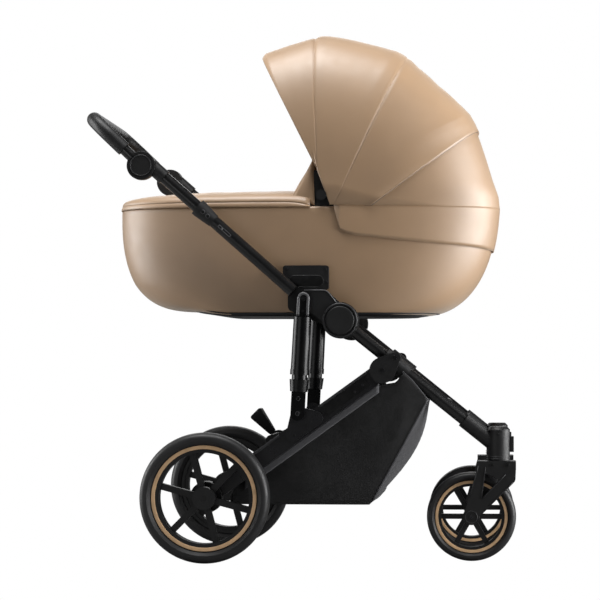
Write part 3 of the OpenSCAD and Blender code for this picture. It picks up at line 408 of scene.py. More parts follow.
def soften(node):
    obj = nodes[node]
    for p in obj.data.polygons:
        p.use_smooth = True
    weld = obj.modifiers.new("weld", "WELD")
    weld.merge_threshold = WELD_REACH
    if node.startswith(ROUND_STOCK):
        split = obj.modifiers.new("crisp", "EDGE_SPLIT")
        split.split_angle = SHARP
        return
    bevel = obj.modifiers.new("edge", "BEVEL")
    bevel.width = EDGE_ROUND
    bevel.segments = 2
    bevel.limit_method = "ANGLE"
    bevel.angle_limit = SHARP
    bevel.harden_normals = False
    normal = obj.modifiers.new("normal", "WEIGHTED_NORMAL")
    normal.keep_sharp = True


for name in nodes:
    soften(name)
print("hard parts softened:", len(nodes))

# %% [markdown]
# Each piece takes the finish of its kind, which is the longest name in the table that its own name starts
# with. The rear rings are bronze on the outer face alone, so their inner faces take the rim's plastic.

# %% Finish of each piece
finishes = {
    "front_tube": frame_paint, "front_crossbar": frame_paint, "upper_tube": frame_paint,
    "rear_tube": leg_paint, "handle_bar": frame_paint, "brake_crossbar": frame_paint,
    "rear_axle": black_plastic, "fold_housing": black_plastic, "fold_caps": soft_black,
    "swing_bracket": black_plastic, "caster_housing": black_plastic, "frame_screws": dark_steel,
    "tilt_bases": black_plastic, "tilt_discs": black_plastic, "tilt_button": soft_black,
    "release_sleeve": soft_black, "handle_grip": grip_leather, "side_plates": plate_black,
    "brake_pedal": black_plastic, "brake_pin": pin_steel, "strut_sleeve": strut_black,
    "strut_rod": strut_black, "fork": black_plastic, "lock_lever": soft_black,
    "front_tyre": rubber, "rear_tyre": rubber, "front_rim": rim_plastic, "rear_rim": rim_plastic,
    "front_rings": bronze, "rear_rings": bronze, "adapters": black_plastic, "hood_hinges": black_plastic,
    "bassinet_base": black_plastic, "basket": basket_cloth, "mattress": white_cotton,
    "bassinet_tub": cover_tan, "apron": cover_tan, "hood_rear": cover_tan, "hood_back": cover_tan,
    "hood_front": cover_tan, "hood_visor": cover_tan,
}
for name in nodes:
    kind = max((k for k in finishes if name.startswith(k)), key=len)
    slots = nodes[name].data.materials
    slots.clear()
    slots.append(finishes[kind])
for side, word in SIDES:
    rings_node = nodes["rear_rings_" + word]
    rings_node.data.materials.append(rim_plastic)
    world_y = [side * (rings_node.matrix_world @ p.center).y for p in rings_node.data.polygons]
    middle = (min(world_y) + max(world_y)) / 2
    for p, y in zip(rings_node.data.polygons, world_y):
        p.material_index = 1 if y < middle else 0
print("hard parts dressed:", len(nodes))

# %% [markdown]
# Soft parts are new meshes. Three small builders make them: one lofts closed rings into a skin, one turns
# a grid of points into a sheet with thickness, and one sweeps a round cord of piping along a line.


# %% Builders for sheets, rings and piping
def add_object(name, points, faces, material):
    mesh = bpy.data.meshes.new(name)
    mesh.from_pydata(points, [], faces)
    mesh.update()
    obj = bpy.data.objects.new(name, mesh)
    scene.collection.objects.link(obj)
    mesh.materials.append(material)
    for p in mesh.polygons:
        p.use_smooth = True
    return obj


def ring_skin(name, rings, material, cap_first=False, cap_last=False):
    count = len(rings[0])
    points = [p for ring in rings for p in ring]
    faces = []
    for j in range(len(rings) - 1):
        for i in range(count):
            n = (i + 1) % count
            faces.append((j * count + i, j * count + n, (j + 1) * count + n, (j + 1) * count + i))
    if cap_first:
        faces.append(tuple(reversed(range(count))))
    if cap_last:
        faces.append(tuple((len(rings) - 1) * count + i for i in range(count)))
    return add_object(name, points, faces, material)


def grid_sheet(name, rows, material, thick, offset=-1.0):
    width = len(rows[0])
    points = [p for row in rows for p in row]
    faces = []
    for j in range(len(rows) - 1):
        for i in range(width - 1):
            a = j * width + i
            faces.append((a, a + 1, a + width + 1, a + width))
    obj = add_object(name, points, faces, material)
    solid = obj.modifiers.new("thickness", "SOLIDIFY")
    solid.thickness = thick
    solid.offset = offset
    apply_modifiers(obj)
    return obj


def apply_modifiers(obj):
    graph = bpy.context.evaluated_depsgraph_get()
    graph.update()
    fresh = bpy.data.meshes.new_from_object(obj.evaluated_get(graph))
    old = obj.data
    obj.modifiers.clear()
    obj.data = fresh
    bpy.data.meshes.remove(old)
    for p in obj.data.polygons:
        p.use_smooth = True


def square_to(along):
    """Two directions across a line, square to each other."""
    helper = Vector((0, 0, 1)) if abs(along.z) < 0.9 else Vector((1, 0, 0))
    u = along.cross(helper).normalized()
    return u, along.cross(u)


def piping(name, line, radius, material, closed=False, sides=8):
    pts = [Vector(p) for p in line]
    rings = []
    count = len(pts)
    for i, p in enumerate(pts):
        before = pts[i - 1] if i or closed else p
        after = pts[(i + 1) % count] if i < count - 1 or closed else p
        u, v = square_to((after - before).normalized())
        rings.append([tuple(p + radius * (math.cos(2 * math.pi * k / sides) * u
                                          + math.sin(2 * math.pi * k / sides) * v)) for k in range(sides)])
    if closed:
        rings.append(rings[0])
    return ring_skin(name, rings, material, not closed, not closed)


print("builders ready")

# %% [markdown]
# The tub's side is one curve: it leaves the floor almost flat, sweeps up round the ends and leans a
# little at the head. The cloth cover follows that curve ring by ring, rolls over the rim and lines the
# inside.

# %% Curve of the tub
TUB_X, TUB_L, TUB_W = 0.009, 0.842, 0.426
TUB_Z0, TUB_Z1, TUB_WALL, TUB_FLOOR = 0.533, 0.768, 0.008, 0.032
END_IN, SIDE_IN, TUB_ROUND, HEAD_LEAN, TUB_POWER = 0.150, 0.020, 0.215, 0.022, 2.9
END_FULL = 2.30
FOOT_LIFT, FOOT_FROM, FOOT_RUN, FOOT_FADE = 0.011, -0.150, 0.110, 0.070
AROUND = 160


def power(c, e):
    return math.copysign(abs(c) ** e, c)


def mix(a, b, t):
    return a + (b - a) * t


def tub_size(z):
    v = min(1.0, max(0.0, (z - TUB_Z0) / TUB_ROUND))
    tuck = 1 - math.sqrt(max(0.0, 1 - (1 - v) ** 2))
    end_tuck = 1 - max(0.0, 1 - (1 - v) ** END_FULL) ** (1 / END_FULL)
    lean = HEAD_LEAN * (1 - (z - TUB_Z0) / (TUB_Z1 - TUB_Z0)) / 2
    return TUB_X - lean, TUB_L / 2 - END_IN * end_tuck - lean, TUB_W / 2 - SIDE_IN * tuck


def tub_point(a, z, off=0.0, level=None):
    cx, hx, hy = tub_size(z if level is None else level)
    e = 2 / TUB_POWER
    return (cx + (hx + off) * power(math.cos(a), e), (hy + off) * power(math.sin(a), e), z)


def foot_lift(p):
    """The floor curves up a little towards the foot."""
    t = min(1.0, max(0.0, (FOOT_FROM - p[0]) / FOOT_RUN))
    low = max(0.0, 1 - (p[2] - TUB_Z0) / FOOT_FADE)
    return (p[0], p[1], p[2] + FOOT_LIFT * t * t * (3 - 2 * t) * low)


def tub_ring(z, off=0.0, level=None):
    return [tub_point(2 * math.pi * i / AROUND, z, off, level) for i in range(AROUND)]


print("tub half sizes at the rim:", tub_size(TUB_Z1)[1:])

# %% [markdown]
# The cover is padded leatherette outside and woven lining inside. Rings stand closer together near the
# floor, where the curve is tight; then they roll over the rim and go down the inside.

# %% Cover of the tub
TUCK, RIM_ROLL, SKIN, LINING_GAP, LINING_FOOT = 0.004, 0.006, 0.0004, 0.008, 0.002
SIDE_STEPS, ROLL_STEPS, LINING_STEPS = 40, 8, 12
rings = [[foot_lift(p) for p in tub_ring(TUB_Z0, -TUCK)]]
for i in range(SIDE_STEPS + 1):
    share = (i / SIDE_STEPS) ** 1.7
    side_ring = tub_ring(TUB_Z0 + SKIN + share * (TUB_Z1 - TUB_Z0 - RIM_ROLL - SKIN))
    rings.append([foot_lift(p) for p in side_ring])
for i in range(1, ROLL_STEPS):
    c = math.pi * i / ROLL_STEPS
    up, back = RIM_ROLL * math.sin(c), RIM_ROLL * math.cos(c)
    rings.append(tub_ring(TUB_Z1 - RIM_ROLL + up, -RIM_ROLL + back, TUB_Z1))
lining_from = len(rings) * AROUND
lining_drop = TUB_Z1 - TUB_Z0 - TUB_FLOOR - LINING_GAP - LINING_FOOT
for i in range(LINING_STEPS + 1):
    rings.append(tub_ring(TUB_Z1 - LINING_GAP - i * lining_drop / LINING_STEPS, -TUB_WALL))
rings.append(tub_ring(TUB_Z0 + TUB_FLOOR, -TUB_WALL - TUCK))
tub_cover = ring_skin("tub_cover", rings, cover_tan, True, True)
tub_cover.data.materials.append(lining_tan)
for p in tub_cover.data.polygons:
    if p.index >= lining_from and len(p.vertices) == 4:
        p.material_index = 1
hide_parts("bassinet_tub")
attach(tub_cover, "bassinet")
print("tub cover rings:", len(rings))

# %% [markdown]
# A thin plastic tray closes the tub from below. Its edge shows as a dark line under the cover, so it
# takes the tub's own rings, pushed out a little, and rises with them towards the foot.

# %% Base tray
TRAY_TURN, TRAY_SHORT = -0.200, 0.6
TRAY_LOW, TRAY_EDGE, TRAY_TOP = TUB_Z0 - 0.003, TUB_Z0 + 0.0044, TUB_Z0 + 0.0006
TRAY_IN = 0.030


def tray_ring(z, off, level):
    ring = []
    for x, y, _ in tub_ring(z, off, level):
        if x < TRAY_TURN:
            x = TRAY_TURN + (x - TRAY_TURN) * TRAY_SHORT
        ring.append(foot_lift((x, y, z)))
    return ring


# Height, offset and the level of the tub that each ring follows, from below to above.
tray_levels = [
    (TRAY_LOW, -TRAY_IN, TUB_Z0), (TRAY_LOW, -TUCK, TUB_Z0), (TRAY_LOW + 0.0006, -TUCK / 2, TUB_Z0),
    (TRAY_EDGE, 0.0023, TRAY_EDGE), (TRAY_EDGE + 0.0006, 0.0018, TRAY_EDGE), (TRAY_EDGE, 0.0006, TRAY_EDGE),
    (TRAY_TOP, -TUCK, TUB_Z0), (TRAY_TOP, -TRAY_IN, TUB_Z0),
]
tray_rings = [tray_ring(*level) for level in tray_levels]
base_tray = ring_skin("base_tray", tray_rings, black_plastic, True, True)
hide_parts("bassinet_base")
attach(base_tray, "bassinet")
print("tray rings:", len(tray_rings))

# %% [markdown]
# The apron is a crowned sheet zipped onto the rim. Its height grows quickly near the edge and then
# flattens, so two powers shape it: one from the foot end and one across.

# %% Apron
APRON_X1, CROWN, APRON_EDGE, BORDER = 0.022, 0.0375, 0.0006, 0.009
ROLL, BORDER_FADE, WRINKLE, APRON_THICK, APRON_START = 0.0034, 0.030, 0.0009, 0.003, 0.0002
APRON_X0 = TUB_X - TUB_L / 2 + ROLL


def rim_half(x, off=APRON_EDGE):
    share = min(1.0, abs(x - TUB_X) / (TUB_L / 2 + off))
    return (TUB_W / 2 + off) * (1 - share ** TUB_POWER) ** (1 / TUB_POWER)


def border_top(x):
    end = min(1.0, max(0.0, (x + BORDER_FADE) / (APRON_X1 + BORDER_FADE)))
    return TUB_Z1 + BORDER * (1 - 0.93 * end * end)


def apron_height(x, y):
    half = max(1e-6, rim_half(x, -ROLL))
    across = max(0.0, 1 - min(1.0, abs(y) / half) ** 3.4) ** 0.42
    share = min(1.0, max(0.0, (APRON_X1 - x) / (APRON_X1 - APRON_X0)))
    along = (1 - share ** 2.6) ** 0.385
    wrinkle = WRINKLE * math.sin(x * 61 + y * 17) * math.sin(y * 43 - x * 23)
    low = border_top(x)
    return low + (TUB_Z1 + CROWN - low) * min(across, 1.0) * along + wrinkle * across * along


def apron_rows(count_x=64, count_y=64):
    rows = []
    for i in range(count_x + 1):
        t = i / count_x
        x = APRON_X0 + APRON_START + (APRON_X1 - APRON_X0) * t ** 1.8
        half = rim_half(x, -ROLL)
        row = []
        for j in range(count_y + 1):
            s = math.sin((j / count_y - 0.5) * math.pi)
            row.append((x, half * s, apron_height(x, half * s)))
        rows.append(row)
    return rows


rows = apron_rows()
apron_top = grid_sheet("apron_top", rows, cover_tan, APRON_THICK)
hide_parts("apron")
print("apron rows:", len(rows))

# %% [markdown]
# A rolled border, a line of piping and a zip run round the apron's edge. All three follow the same edge,
# each at its own turn of the roll, so they stay in line however the apron is shaped.

# %% Apron border, piping and zip
ZIP_FROM, PIPE_TURN, ZIP_TURN, PIPE_OUT, ZIP_OUT = -0.350, 1.45, 0.02, 0.0006, 0.0003
BORDER_THICK, BORDER_SUNK, PIPE_R = 0.0024, 0.0006, 0.0010
apron_edge = list(reversed([r[0] for r in rows])) + [r[-1] for r in rows][1:]
grow = ((TUB_L / 2 + APRON_EDGE) / (TUB_L / 2 - ROLL), (TUB_W / 2 + APRON_EDGE) / (TUB_W / 2 - ROLL))


def border_point(p, c, out=0.0):
    """A point of the rolled border: c runs from the zip (0) to the top seam (a quarter turn)."""
    wide = (TUB_X + (p[0] - TUB_X) * grow[0], p[1] * grow[1])
    t = 1 - math.cos(c)
    x, y = mix(wide[0], p[0], t), mix(wide[1], p[1], t)
    lean = Vector((x - TUB_X, y * 4)).normalized() * out
    return (x + lean[0], y + lean[1], mix(TUB_Z1 - BORDER_SUNK, border_top(p[0]), math.sin(c)))


border_rows = [[border_point(p, math.pi / 2 * k / 6) for p in apron_edge] for k in range(7)]
apron_border = grid_sheet("apron_border", border_rows, cover_tan, BORDER_THICK, 0.0)
pipe_line = [border_point(p, PIPE_TURN, PIPE_OUT) for p in apron_edge]
apron_pipe = piping("apron_piping", pipe_line, PIPE_R, piping_tan)
apron_zips = []
for side, word in SIDES:
    half = [p for p in apron_edge if p[1] * side > 0 and p[0] > ZIP_FROM]
    line = [border_point(p, ZIP_TURN, ZIP_OUT) for p in half]
    apron_zips.append(piping("apron_zip_" + word, line, PIPE_R, zip_tape))
for obj in [apron_top, apron_border, apron_pipe] + apron_zips:
    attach(obj, "bassinet")
print("apron border points:", len(apron_edge))

# %% [markdown]
# The wind flap stands on the front edge of the apron and leans towards the hood. A gusset on each side
# ties it down to the rim.

# %% Wind flap
FLAP_X0, FLAP, FLAP_HALF = -0.016, (0.027, 0.868), 0.190
FLAP_DIP, FLAP_WAVE, FLAP_NARROW, FLAP_SUNK = 0.007, 0.004, 0.94, 0.001
FLAP_THICK, FLAP_HEM_R, GUSSET_THICK, GUSSET_PIPE_R = 0.003, 0.0024, 0.0024, 0.0014
GUSSET_X, GUSSET_Y, GUSSET_Z, GUSSET_PUFF = 0.031, 0.2045, TUB_Z1 + 0.003, 0.003


def flap_point(s, v):
    base_half = rim_half(FLAP_X0) * FLAP_NARROW
    y0 = base_half * s
    half = mix(base_half, FLAP_HALF, v ** 0.8)
    z0 = apron_height(FLAP_X0, y0) - FLAP_SUNK
    z1 = FLAP[1] - FLAP_DIP * (1 - s * s)
    lean = FLAP_X0 + (FLAP[0] - FLAP_X0) * v + FLAP_WAVE * math.sin(math.pi * v) * math.cos(5 * s)
    return (lean, half * s, mix(z0, z1, v))


flap_rows = [[flap_point(i / 24 - 1, v / 12) for i in range(49)] for v in range(13)]
wind_flap = grid_sheet("wind_flap", flap_rows, cover_tan, FLAP_THICK, 0.0)
flap_hem = piping("flap_hem", flap_rows[-1], FLAP_HEM_R, piping_tan)


def gusset(side):
    top = flap_point(side, 1.0)
    foot = (GUSSET_X, side * GUSSET_Y, GUSSET_Z)
    rows = []
    for v in range(13):
        t = v / 12
        a = flap_point(side, t)
        b = tuple(mix(foot[k], top[k], t) for k in range(3))
        row = []
        for i in range(9):
            u = i / 8
            puff = side * GUSSET_PUFF * math.sin(math.pi * u) * math.sin(math.pi * t)
            row.append((mix(a[0], b[0], u), mix(a[1], b[1], u) + puff, mix(a[2], b[2], u)))
        rows.append(row)
    return rows


gussets, gusset_pipes = [], []
for side, word in SIDES:
    rows = gusset(side)
    gussets.append(grid_sheet("flap_gusset_" + word, rows, cover_tan, GUSSET_THICK, 0.0))
    gusset_pipes.append(piping("gusset_piping_" + word, [r[-1] for r in rows], GUSSET_PIPE_R, piping_tan))
flap_parts = [wind_flap, flap_hem] + gussets + gusset_pipes
for obj in flap_parts:
    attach(obj, "bassinet")
print("wind flap parts:", len(flap_parts))

# %% [markdown]
# The hood is drawn in side view: a list of points along its silhouette, read from the photo, and a
# straight line from each of them to a foot near the hinge. Its width at any place follows a rounded arch,
# so the same side view gives both halves. Between two bows the cloth sags a little, which the silhouette
# already shows.

# %% Side view of the hood
HINGE, KNEE = (0.047, 0.792), (0.0365, 0.854)
HOOD_HALF, HOOD_POWER = 0.2155, 3.0
SLIM, SLIM_FROM = 0.984, 0.8
# Points along the top of each panel, then its foot at the first of them and at the last.
SILHOUETTE = {
    "rear": ([(0.4375, 0.770), (0.4350, 0.795), (0.4235, 0.830), (0.4135, 0.863), (0.402, 0.900),
              (0.391, 0.932), (0.388, 0.943)], (0.300, 0.769), (0.155, 0.769)),
    "band": ([(0.388, 0.943), (0.382, 0.964), (0.373, 0.982)], (0.155, 0.769), (0.121, 0.769)),
    "back": ([(0.373, 0.982), (0.346, 1.009), (0.301, 1.049), (0.256, 1.090), (0.234, 1.112)],
             (0.121, 0.769), (0.074, 0.771)),
    "front": ([(0.234, 1.112), (0.211, 1.126), (0.189, 1.132), (0.144, 1.144), (0.099, 1.155),
               (0.049, 1.163), (0.036, 1.162), (0.026, 1.159)], (0.074, 0.771), (0.068, 0.771)),
    "visor": ([(0.026, 1.159), (-0.014, 1.148), (-0.059, 1.134), (-0.089, 1.124), (-0.095, 1.115)],
              KNEE, KNEE),
}


def slim(x, z):
    """A point of the silhouette, drawn in a little towards the hinge."""
    return (HINGE[0] + (x - HINGE[0]) * SLIM, HINGE[1] + (z - HINGE[1]) * (SLIM if z > SLIM_FROM else 1.0))


PANELS = {name: ([slim(*p) for p in tops], a, b) for name, (tops, a, b) in SILHOUETTE.items()}
polar = sorted({(math.atan2(z - HINGE[1], x - HINGE[0]), math.hypot(x - HINGE[0], z - HINGE[1]))
                for tops, a, b in PANELS.values() for x, z in tops})
POLAR_A = [p[0] for p in polar]
POLAR_R = [p[1] for p in polar]
print("hood panels:", list(PANELS))

# %% [markdown]
# One line of cloth runs from the left rim over the top to the right rim. Its width comes from the arch,
# and near the rim it blends into the tub's own outline. A small dip on each side of a bow makes the
# crease that a sewn seam leaves.

# %% Lines of the hood
ARCH_BLEND, RIM_OUT, CREASE_W, CREASE_D = 0.07, 0.0032, 0.0045, 0.0022


def smooth(t):
    t = min(1.0, max(0.0, t))
    return t * t * (3 - 2 * t)


def hood_half(x, z):
    dx, dz = x - HINGE[0], z - HINGE[1]
    reach = float(np.interp(math.atan2(dz, dx), POLAR_A, POLAR_R))
    share = min(1.0, math.hypot(dx, dz) / reach)
    field = HOOD_HALF * max(0.0, 1 - share ** HOOD_POWER) ** (1 / HOOD_POWER)
    rim = rim_half(x, RIM_OUT)
    return max(0.0, mix(rim, field, smooth((z - TUB_Z1) / ARCH_BLEND)))


def along_top(tops, t):
    lengths = [0.0]
    for a, b in zip(tops, tops[1:]):
        lengths.append(lengths[-1] + math.dist(a, b))
    d = t * lengths[-1]
    return tuple(float(np.interp(d, lengths, [p[k] for p in tops])) for k in (0, 1))


def crease(panel, t):
    tops = PANELS[panel][0]
    span = sum(math.dist(a, b) for a, b in zip(tops, tops[1:]))
    ends = {"back": 1 - t, "visor": t}
    near = ends.get(panel, min(t, 1 - t)) * span
    return math.exp(-(near / CREASE_W) ** 2)


def hood_line(panel, t, lift=0.0, count=72):
    tops, foot0, foot1 = PANELS[panel]
    top = along_top(tops, t)
    foot = tuple(mix(foot0[k], foot1[k], t) for k in (0, 1))
    knee_at = (KNEE[1] - foot[1]) / (top[1] - foot[1])
    knee_off = KNEE[0] - mix(foot[0], top[0], knee_at)
    bend = t ** 2 if panel == "front" else 0.0
    line = []
    for i in range(count + 1):
        c = math.pi * i / count
        q = math.sin(c) ** (2 / HOOD_POWER) if 0 < i < count else 0.0
        x, z = mix(foot[0], top[0], q), mix(foot[1], top[1], q)
        if bend:
            x += bend * knee_off * (q / knee_at if q < knee_at else (1 - q) / (1 - knee_at))
        y = math.copysign(hood_half(x, z), math.cos(c)) if i * 2 != count else 0.0
        out = Vector((0, math.copysign(1.0, y), 0))
        if q >= 0.5:
            out = Vector((x - HINGE[0], y * 0.6, z - HINGE[1]))
        dip = 0.0 if panel in ("band", "rear") else CREASE_D * crease(panel, t) * smooth(q * 4)
        p = Vector((x, y, z)) + out.normalized() * (lift - dip)
        line.append(tuple(p))
    return line


print("points in a hood line:", len(hood_line("front", 0.5)))

# %% [markdown]
# Each panel is a grid of such lines, closer together near the bows where the crease is. The back panel
# starts with a folded band over the rear one. Seams and hems are thin piping laid on the lines between
# the panels. The dark tan piping on the two seams is painted shade in their creases, the dark tan line
# under the band's lower edge is a painted shadow, and one more runs along the visor as a stitch line.

# %% Hood panels and seams
BAND_STEPS, BAND_LIFT, HOOD_THICK = 8, 0.0042, 0.0026


def even_ends(n):
    """Shares from 0 to 1 that stand closer together at both ends."""
    return [0.5 - 0.5 * power(math.cos(math.pi * j / n), 0.75) for j in range(n + 1)]


hood = {}
steps = {"rear": 18, "back": 40, "front": 36, "visor": 30}
for panel, n in steps.items():
    rows = [hood_line(panel, t) for t in even_ends(n)]
    if panel == "back":
        shares = [k / BAND_STEPS for k in range(BAND_STEPS)]
        rows = [hood_line("band", t, BAND_LIFT * (1 - t) ** 2) for t in shares] + rows
    hood[panel] = grid_sheet("hood_" + panel + "_cloth", rows, cover_tan, HOOD_THICK)
    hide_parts("hood_" + panel)
# The dark tan lines are painted shade in the creases of the two seams and a painted shadow under the band's
# lower edge.
# Panel, share along it, radius, lift and material.
seams = {
    "second": ("front", 0.0, 0.0010, 0.0014, shade_and_stitch_tan),
    "first": ("visor", 0.0, 0.0012, 0.0014, shade_and_stitch_tan),
    "visor_hem": ("visor", 1.0, 0.0022, 0.0, piping_tan),
    "visor_stitch": ("visor", 0.93, 0.0008, 0.0, shade_and_stitch_tan),
    "band_edge": ("rear", 1.0, 0.0016, 0.0029, shade_and_stitch_tan),
}
for word, (panel, t, radius, lift, material) in seams.items():
    hood[word] = piping("hood_seam_" + word, hood_line(panel, t, lift), radius, material)
print("hood pieces:", sorted(hood))

# %% [markdown]
# A valance hangs from the hood's rear panel over the tub's rim. It drops quickly behind the hinge and
# then deepens slowly towards the head, so its lower edge is a short list of heights along the tub.

# %% Valance
VALANCE_X = [0.074, 0.078, 0.083, 0.088, 0.101, 0.122, 0.243, 0.395, 0.436]
VALANCE_Z = [0.7705, 0.748, 0.727, 0.718, 0.712, 0.706, 0.694, 0.681, 0.676]
VALANCE_UP, VALANCE_OFF, HEM_OFF = 0.0035, 0.0036, 0.0038
VALANCE_THICK, HEM_R, VALANCE_SEAM_R = 0.0022, 0.0009, 0.0007


def valance_point(a, t, off=VALANCE_OFF):
    x = tub_point(a, TUB_Z1)[0]
    low = float(np.interp(x, VALANCE_X, VALANCE_Z))
    z = mix(TUB_Z1 + VALANCE_UP, low, t)
    return tub_point(a, z, off, min(z, TUB_Z1))


front_share = (VALANCE_X[0] - TUB_X) / (TUB_L / 2)
a_end = math.acos(front_share ** (TUB_POWER / 2))
angles = [a_end * (1 - 2 * i / 120) for i in range(121)]
valance_rows = [[valance_point(a, j / 12) for a in angles] for j in range(13)]
valance = grid_sheet("hood_valance", valance_rows, cover_tan, VALANCE_THICK, 0.0)
hem = piping("valance_hem", [valance_point(a, 1.0, HEM_OFF) for a in angles], HEM_R, piping_tan)
base_seam = piping("valance_seam", [valance_point(a, 0.0) for a in angles], VALANCE_SEAM_R, piping_tan)
print("valance points:", len(angles) * len(valance_rows))

# %% [markdown]
# The back, front and visor panels have their placing baked into their points and ride on no bow. The
# seams ride on the bow they are sewn to. The rear panel and the valance stay on the tub.


# %% Hood motion
def bow(panel, t):
    x, z = along_top(PANELS[panel][0], t)
    return (x, 0.0, z)


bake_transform(hood["back"])
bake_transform(hood["front"])
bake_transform(hood["visor"])
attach(hood["second"], "hood_back_part")
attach(hood["first"], "hood_front_part")
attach(hood["visor_hem"], "hood_visor_part")
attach(hood["visor_stitch"], "hood_visor_part")
for obj in (hood["rear"], hood["band_edge"], valance, hem, base_seam):
    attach(obj, "bassinet")
print("hood bows:", [bow(panel, 1.0) for panel in ("back", "front", "visor")])

# %% [markdown]
# The area of each cloth sheet is worked out from the mesh itself, which has two faces; nothing uses it
# afterwards.


def cloth(obj):
    shown = obj.evaluated_get(bpy.context.evaluated_depsgraph_get())
    area = sum(p.area for p in shown.to_mesh().polygons) / 2
    shown.to_mesh_clear()


for panel in steps:
    cloth(hood[panel])
cloth(valance)
cloth(apron_top)
cloth(apron_border)
cloth(wind_flap)
for obj in gussets:
    cloth(obj)

# %% [markdown]
# The mattress is a foam pad in a cotton cover. Its rings turn round the edge and then crown a little
# towards the middle. The seam around its edge keeps its place.

# %% Mattress
PAD_Z0, PAD_T, PAD_CROWN, PAD_ROLL, PAD_GAP = TUB_Z0 + TUB_FLOOR + 0.0006, 0.036, 0.007, 0.014, 0.004
SEAM_SHARE, SEAM_IN, SEAM_R = 0.86, 0.0025, 0.0022
PAD_AROUND, PAD_STEPS = 120, 8


def pad_ring(z, off):
    turns = [2 * math.pi * i / PAD_AROUND for i in range(PAD_AROUND)]
    return [tub_point(a, z, off - TUB_WALL - PAD_GAP, TUB_Z0 + TUB_FLOOR) for a in turns]


pad_rings = []
for i in range(PAD_STEPS + 1):
    c = math.pi * (i / PAD_STEPS - 0.5)
    z = PAD_Z0 + PAD_T / 2 + PAD_T / 2 * math.sin(c)
    pad_rings.append(pad_ring(z, -PAD_ROLL + PAD_ROLL * math.cos(c)))
cx = tub_size(TUB_Z0 + TUB_FLOOR)[0]
top_ring = pad_ring(PAD_Z0 + PAD_T, -PAD_ROLL)
for k in (0.9, 0.75, 0.55, 0.3):
    pad_rings.append([(cx + (x - cx) * k, y * k, z + PAD_CROWN * (1 - k ** 2)) for x, y, z in top_ring])
pad = ring_skin("mattress_pad", pad_rings, white_cotton, True, True)
seam_ring = pad_ring(PAD_Z0 + PAD_T * SEAM_SHARE, -SEAM_IN)
pad_edge = piping("mattress_piping", seam_ring, SEAM_R, white_cotton, True)
print("mattress rings:", len(pad_rings))

# %% [markdown]
# Foam presses its cover out a little. A short cloth simulation with pressure inside does the same. Cloth
# needs an even mesh, so the pad is remeshed first, and no point may move further than a few millimetres.

# %% Puff of the mattress
VOXEL, PUFF_FRAMES, PUFF_MOST = 0.006, 20, 0.003
remesh = pad.modifiers.new("even", "REMESH")
remesh.mode = "VOXEL"
remesh.voxel_size = VOXEL
apply_modifiers(pad)
rest = np.array([v.co for v in pad.data.vertices])
puff = pad.modifiers.new("puff", "CLOTH")
puff.settings.use_pressure = True
puff.settings.uniform_pressure_force = 0.8
puff.settings.tension_stiffness = 30
puff.settings.compression_stiffness = 30
puff.settings.bending_stiffness = 2
puff.settings.effector_weights.gravity = 0
puff.point_cache.frame_start = 1
puff.point_cache.frame_end = PUFF_FRAMES
for f in range(1, PUFF_FRAMES + 1):
    scene.frame_set(f)
apply_modifiers(pad)
scene.frame_set(1)
moved = np.array([v.co for v in pad.data.vertices]) - rest
length = np.linalg.norm(moved, axis=1)
cap = np.minimum(1.0, PUFF_MOST / np.maximum(length, 1e-9))
for v, p in zip(pad.data.vertices, rest + moved * cap[:, None]):
    v.co = p
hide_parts("mattress")
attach(pad, "bassinet")
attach(pad_edge, "bassinet")
print("mattress points:", len(pad.data.vertices))

# %% [markdown]
# The basket is a sling of woven cloth that hangs from the rear tubes. One long strip makes the back, the
# floor and the bulging front. It starts as a path in side view, and each point of the path becomes a row
# across.

# %% Path of the basket strip
SWING, LEG_END = (0.180, 0.413), (-0.199, 0.140)
LEG_SLOPE = (SWING[1] - LEG_END[1]) / (SWING[0] - LEG_END[0])
BASKET_HALF, BASKET_Z = 0.2155, 0.125
BACK_X, BACK_TOP_X, BACK_DROP, FLOOR_ROUND = -0.150, -0.136, 0.015, 0.012
FLOOR_END, FLOOR_UP = 0.150, 0.0004
FRONT_FOOT, FRONT_BULGE, FRONT_STEPS = 0.154, 0.032, 24
NOSE, TOP_A, TOP_B = (0.276, 0.349), (0.242, 0.391), (0.224, 0.408)


def leg_z(x):
    return SWING[1] + (x - SWING[0]) * LEG_SLOPE


def basket_front(t, s=1.0):
    bulge = FRONT_BULGE * (1 - s ** 4) * math.sin(math.pi * t)
    return (mix(FRONT_FOOT, NOSE[0], t) + bulge, mix(BASKET_Z, NOSE[1], t))


def straight(a, b, count, first=1):
    return [(mix(a[0], b[0], t / count), mix(a[1], b[1], t / count)) for t in range(first, count + 1)]


back_top = (BACK_TOP_X, leg_z(BACK_TOP_X) - BACK_DROP)
path = straight(back_top, (BACK_X, BASKET_Z + FLOOR_ROUND), 8, 0)
path += [(BACK_X + FLOOR_ROUND * (1 - math.cos(c)), BASKET_Z + FLOOR_ROUND * (1 - math.sin(c)))
         for c in [math.pi / 2 * k / 5 for k in range(1, 6)]]
path += straight((BACK_X + FLOOR_ROUND, BASKET_Z + FLOOR_UP), (FLOOR_END, BASKET_Z + FLOOR_UP), 24)
front_from = len(path)
path += [basket_front(t / FRONT_STEPS) for t in range(1, FRONT_STEPS + 1)]
front_to = len(path)
path += straight(NOSE, TOP_A, 5) + straight(TOP_A, TOP_B, 4)
print("points in the basket's path:", len(path))

# %% [markdown]
# The strip sags a little in the middle and ripples where it hangs loose. Its front takes a lighter grey
# than the rest, which a second material slot gives to the faces in front of the floor.

# %% Basket strip
FLOOR_SAG, BACK_SAG, STRIP_RIPPLE, FLOOR_ZONE = 0.003, -0.0035, 0.0010, 0.02
BASKET_THICK, FRONT_UP = 0.002, 0.004


def sling_sag(x, z, s):
    hang = FLOOR_SAG if z < BASKET_Z + FLOOR_ZONE else BACK_SAG
    ripple = STRIP_RIPPLE * math.sin(29 * s + 90 * (x + z)) * math.cos(11 * s - 40 * x)
    return (1 - s * s) * hang + ripple * (1 - abs(s))


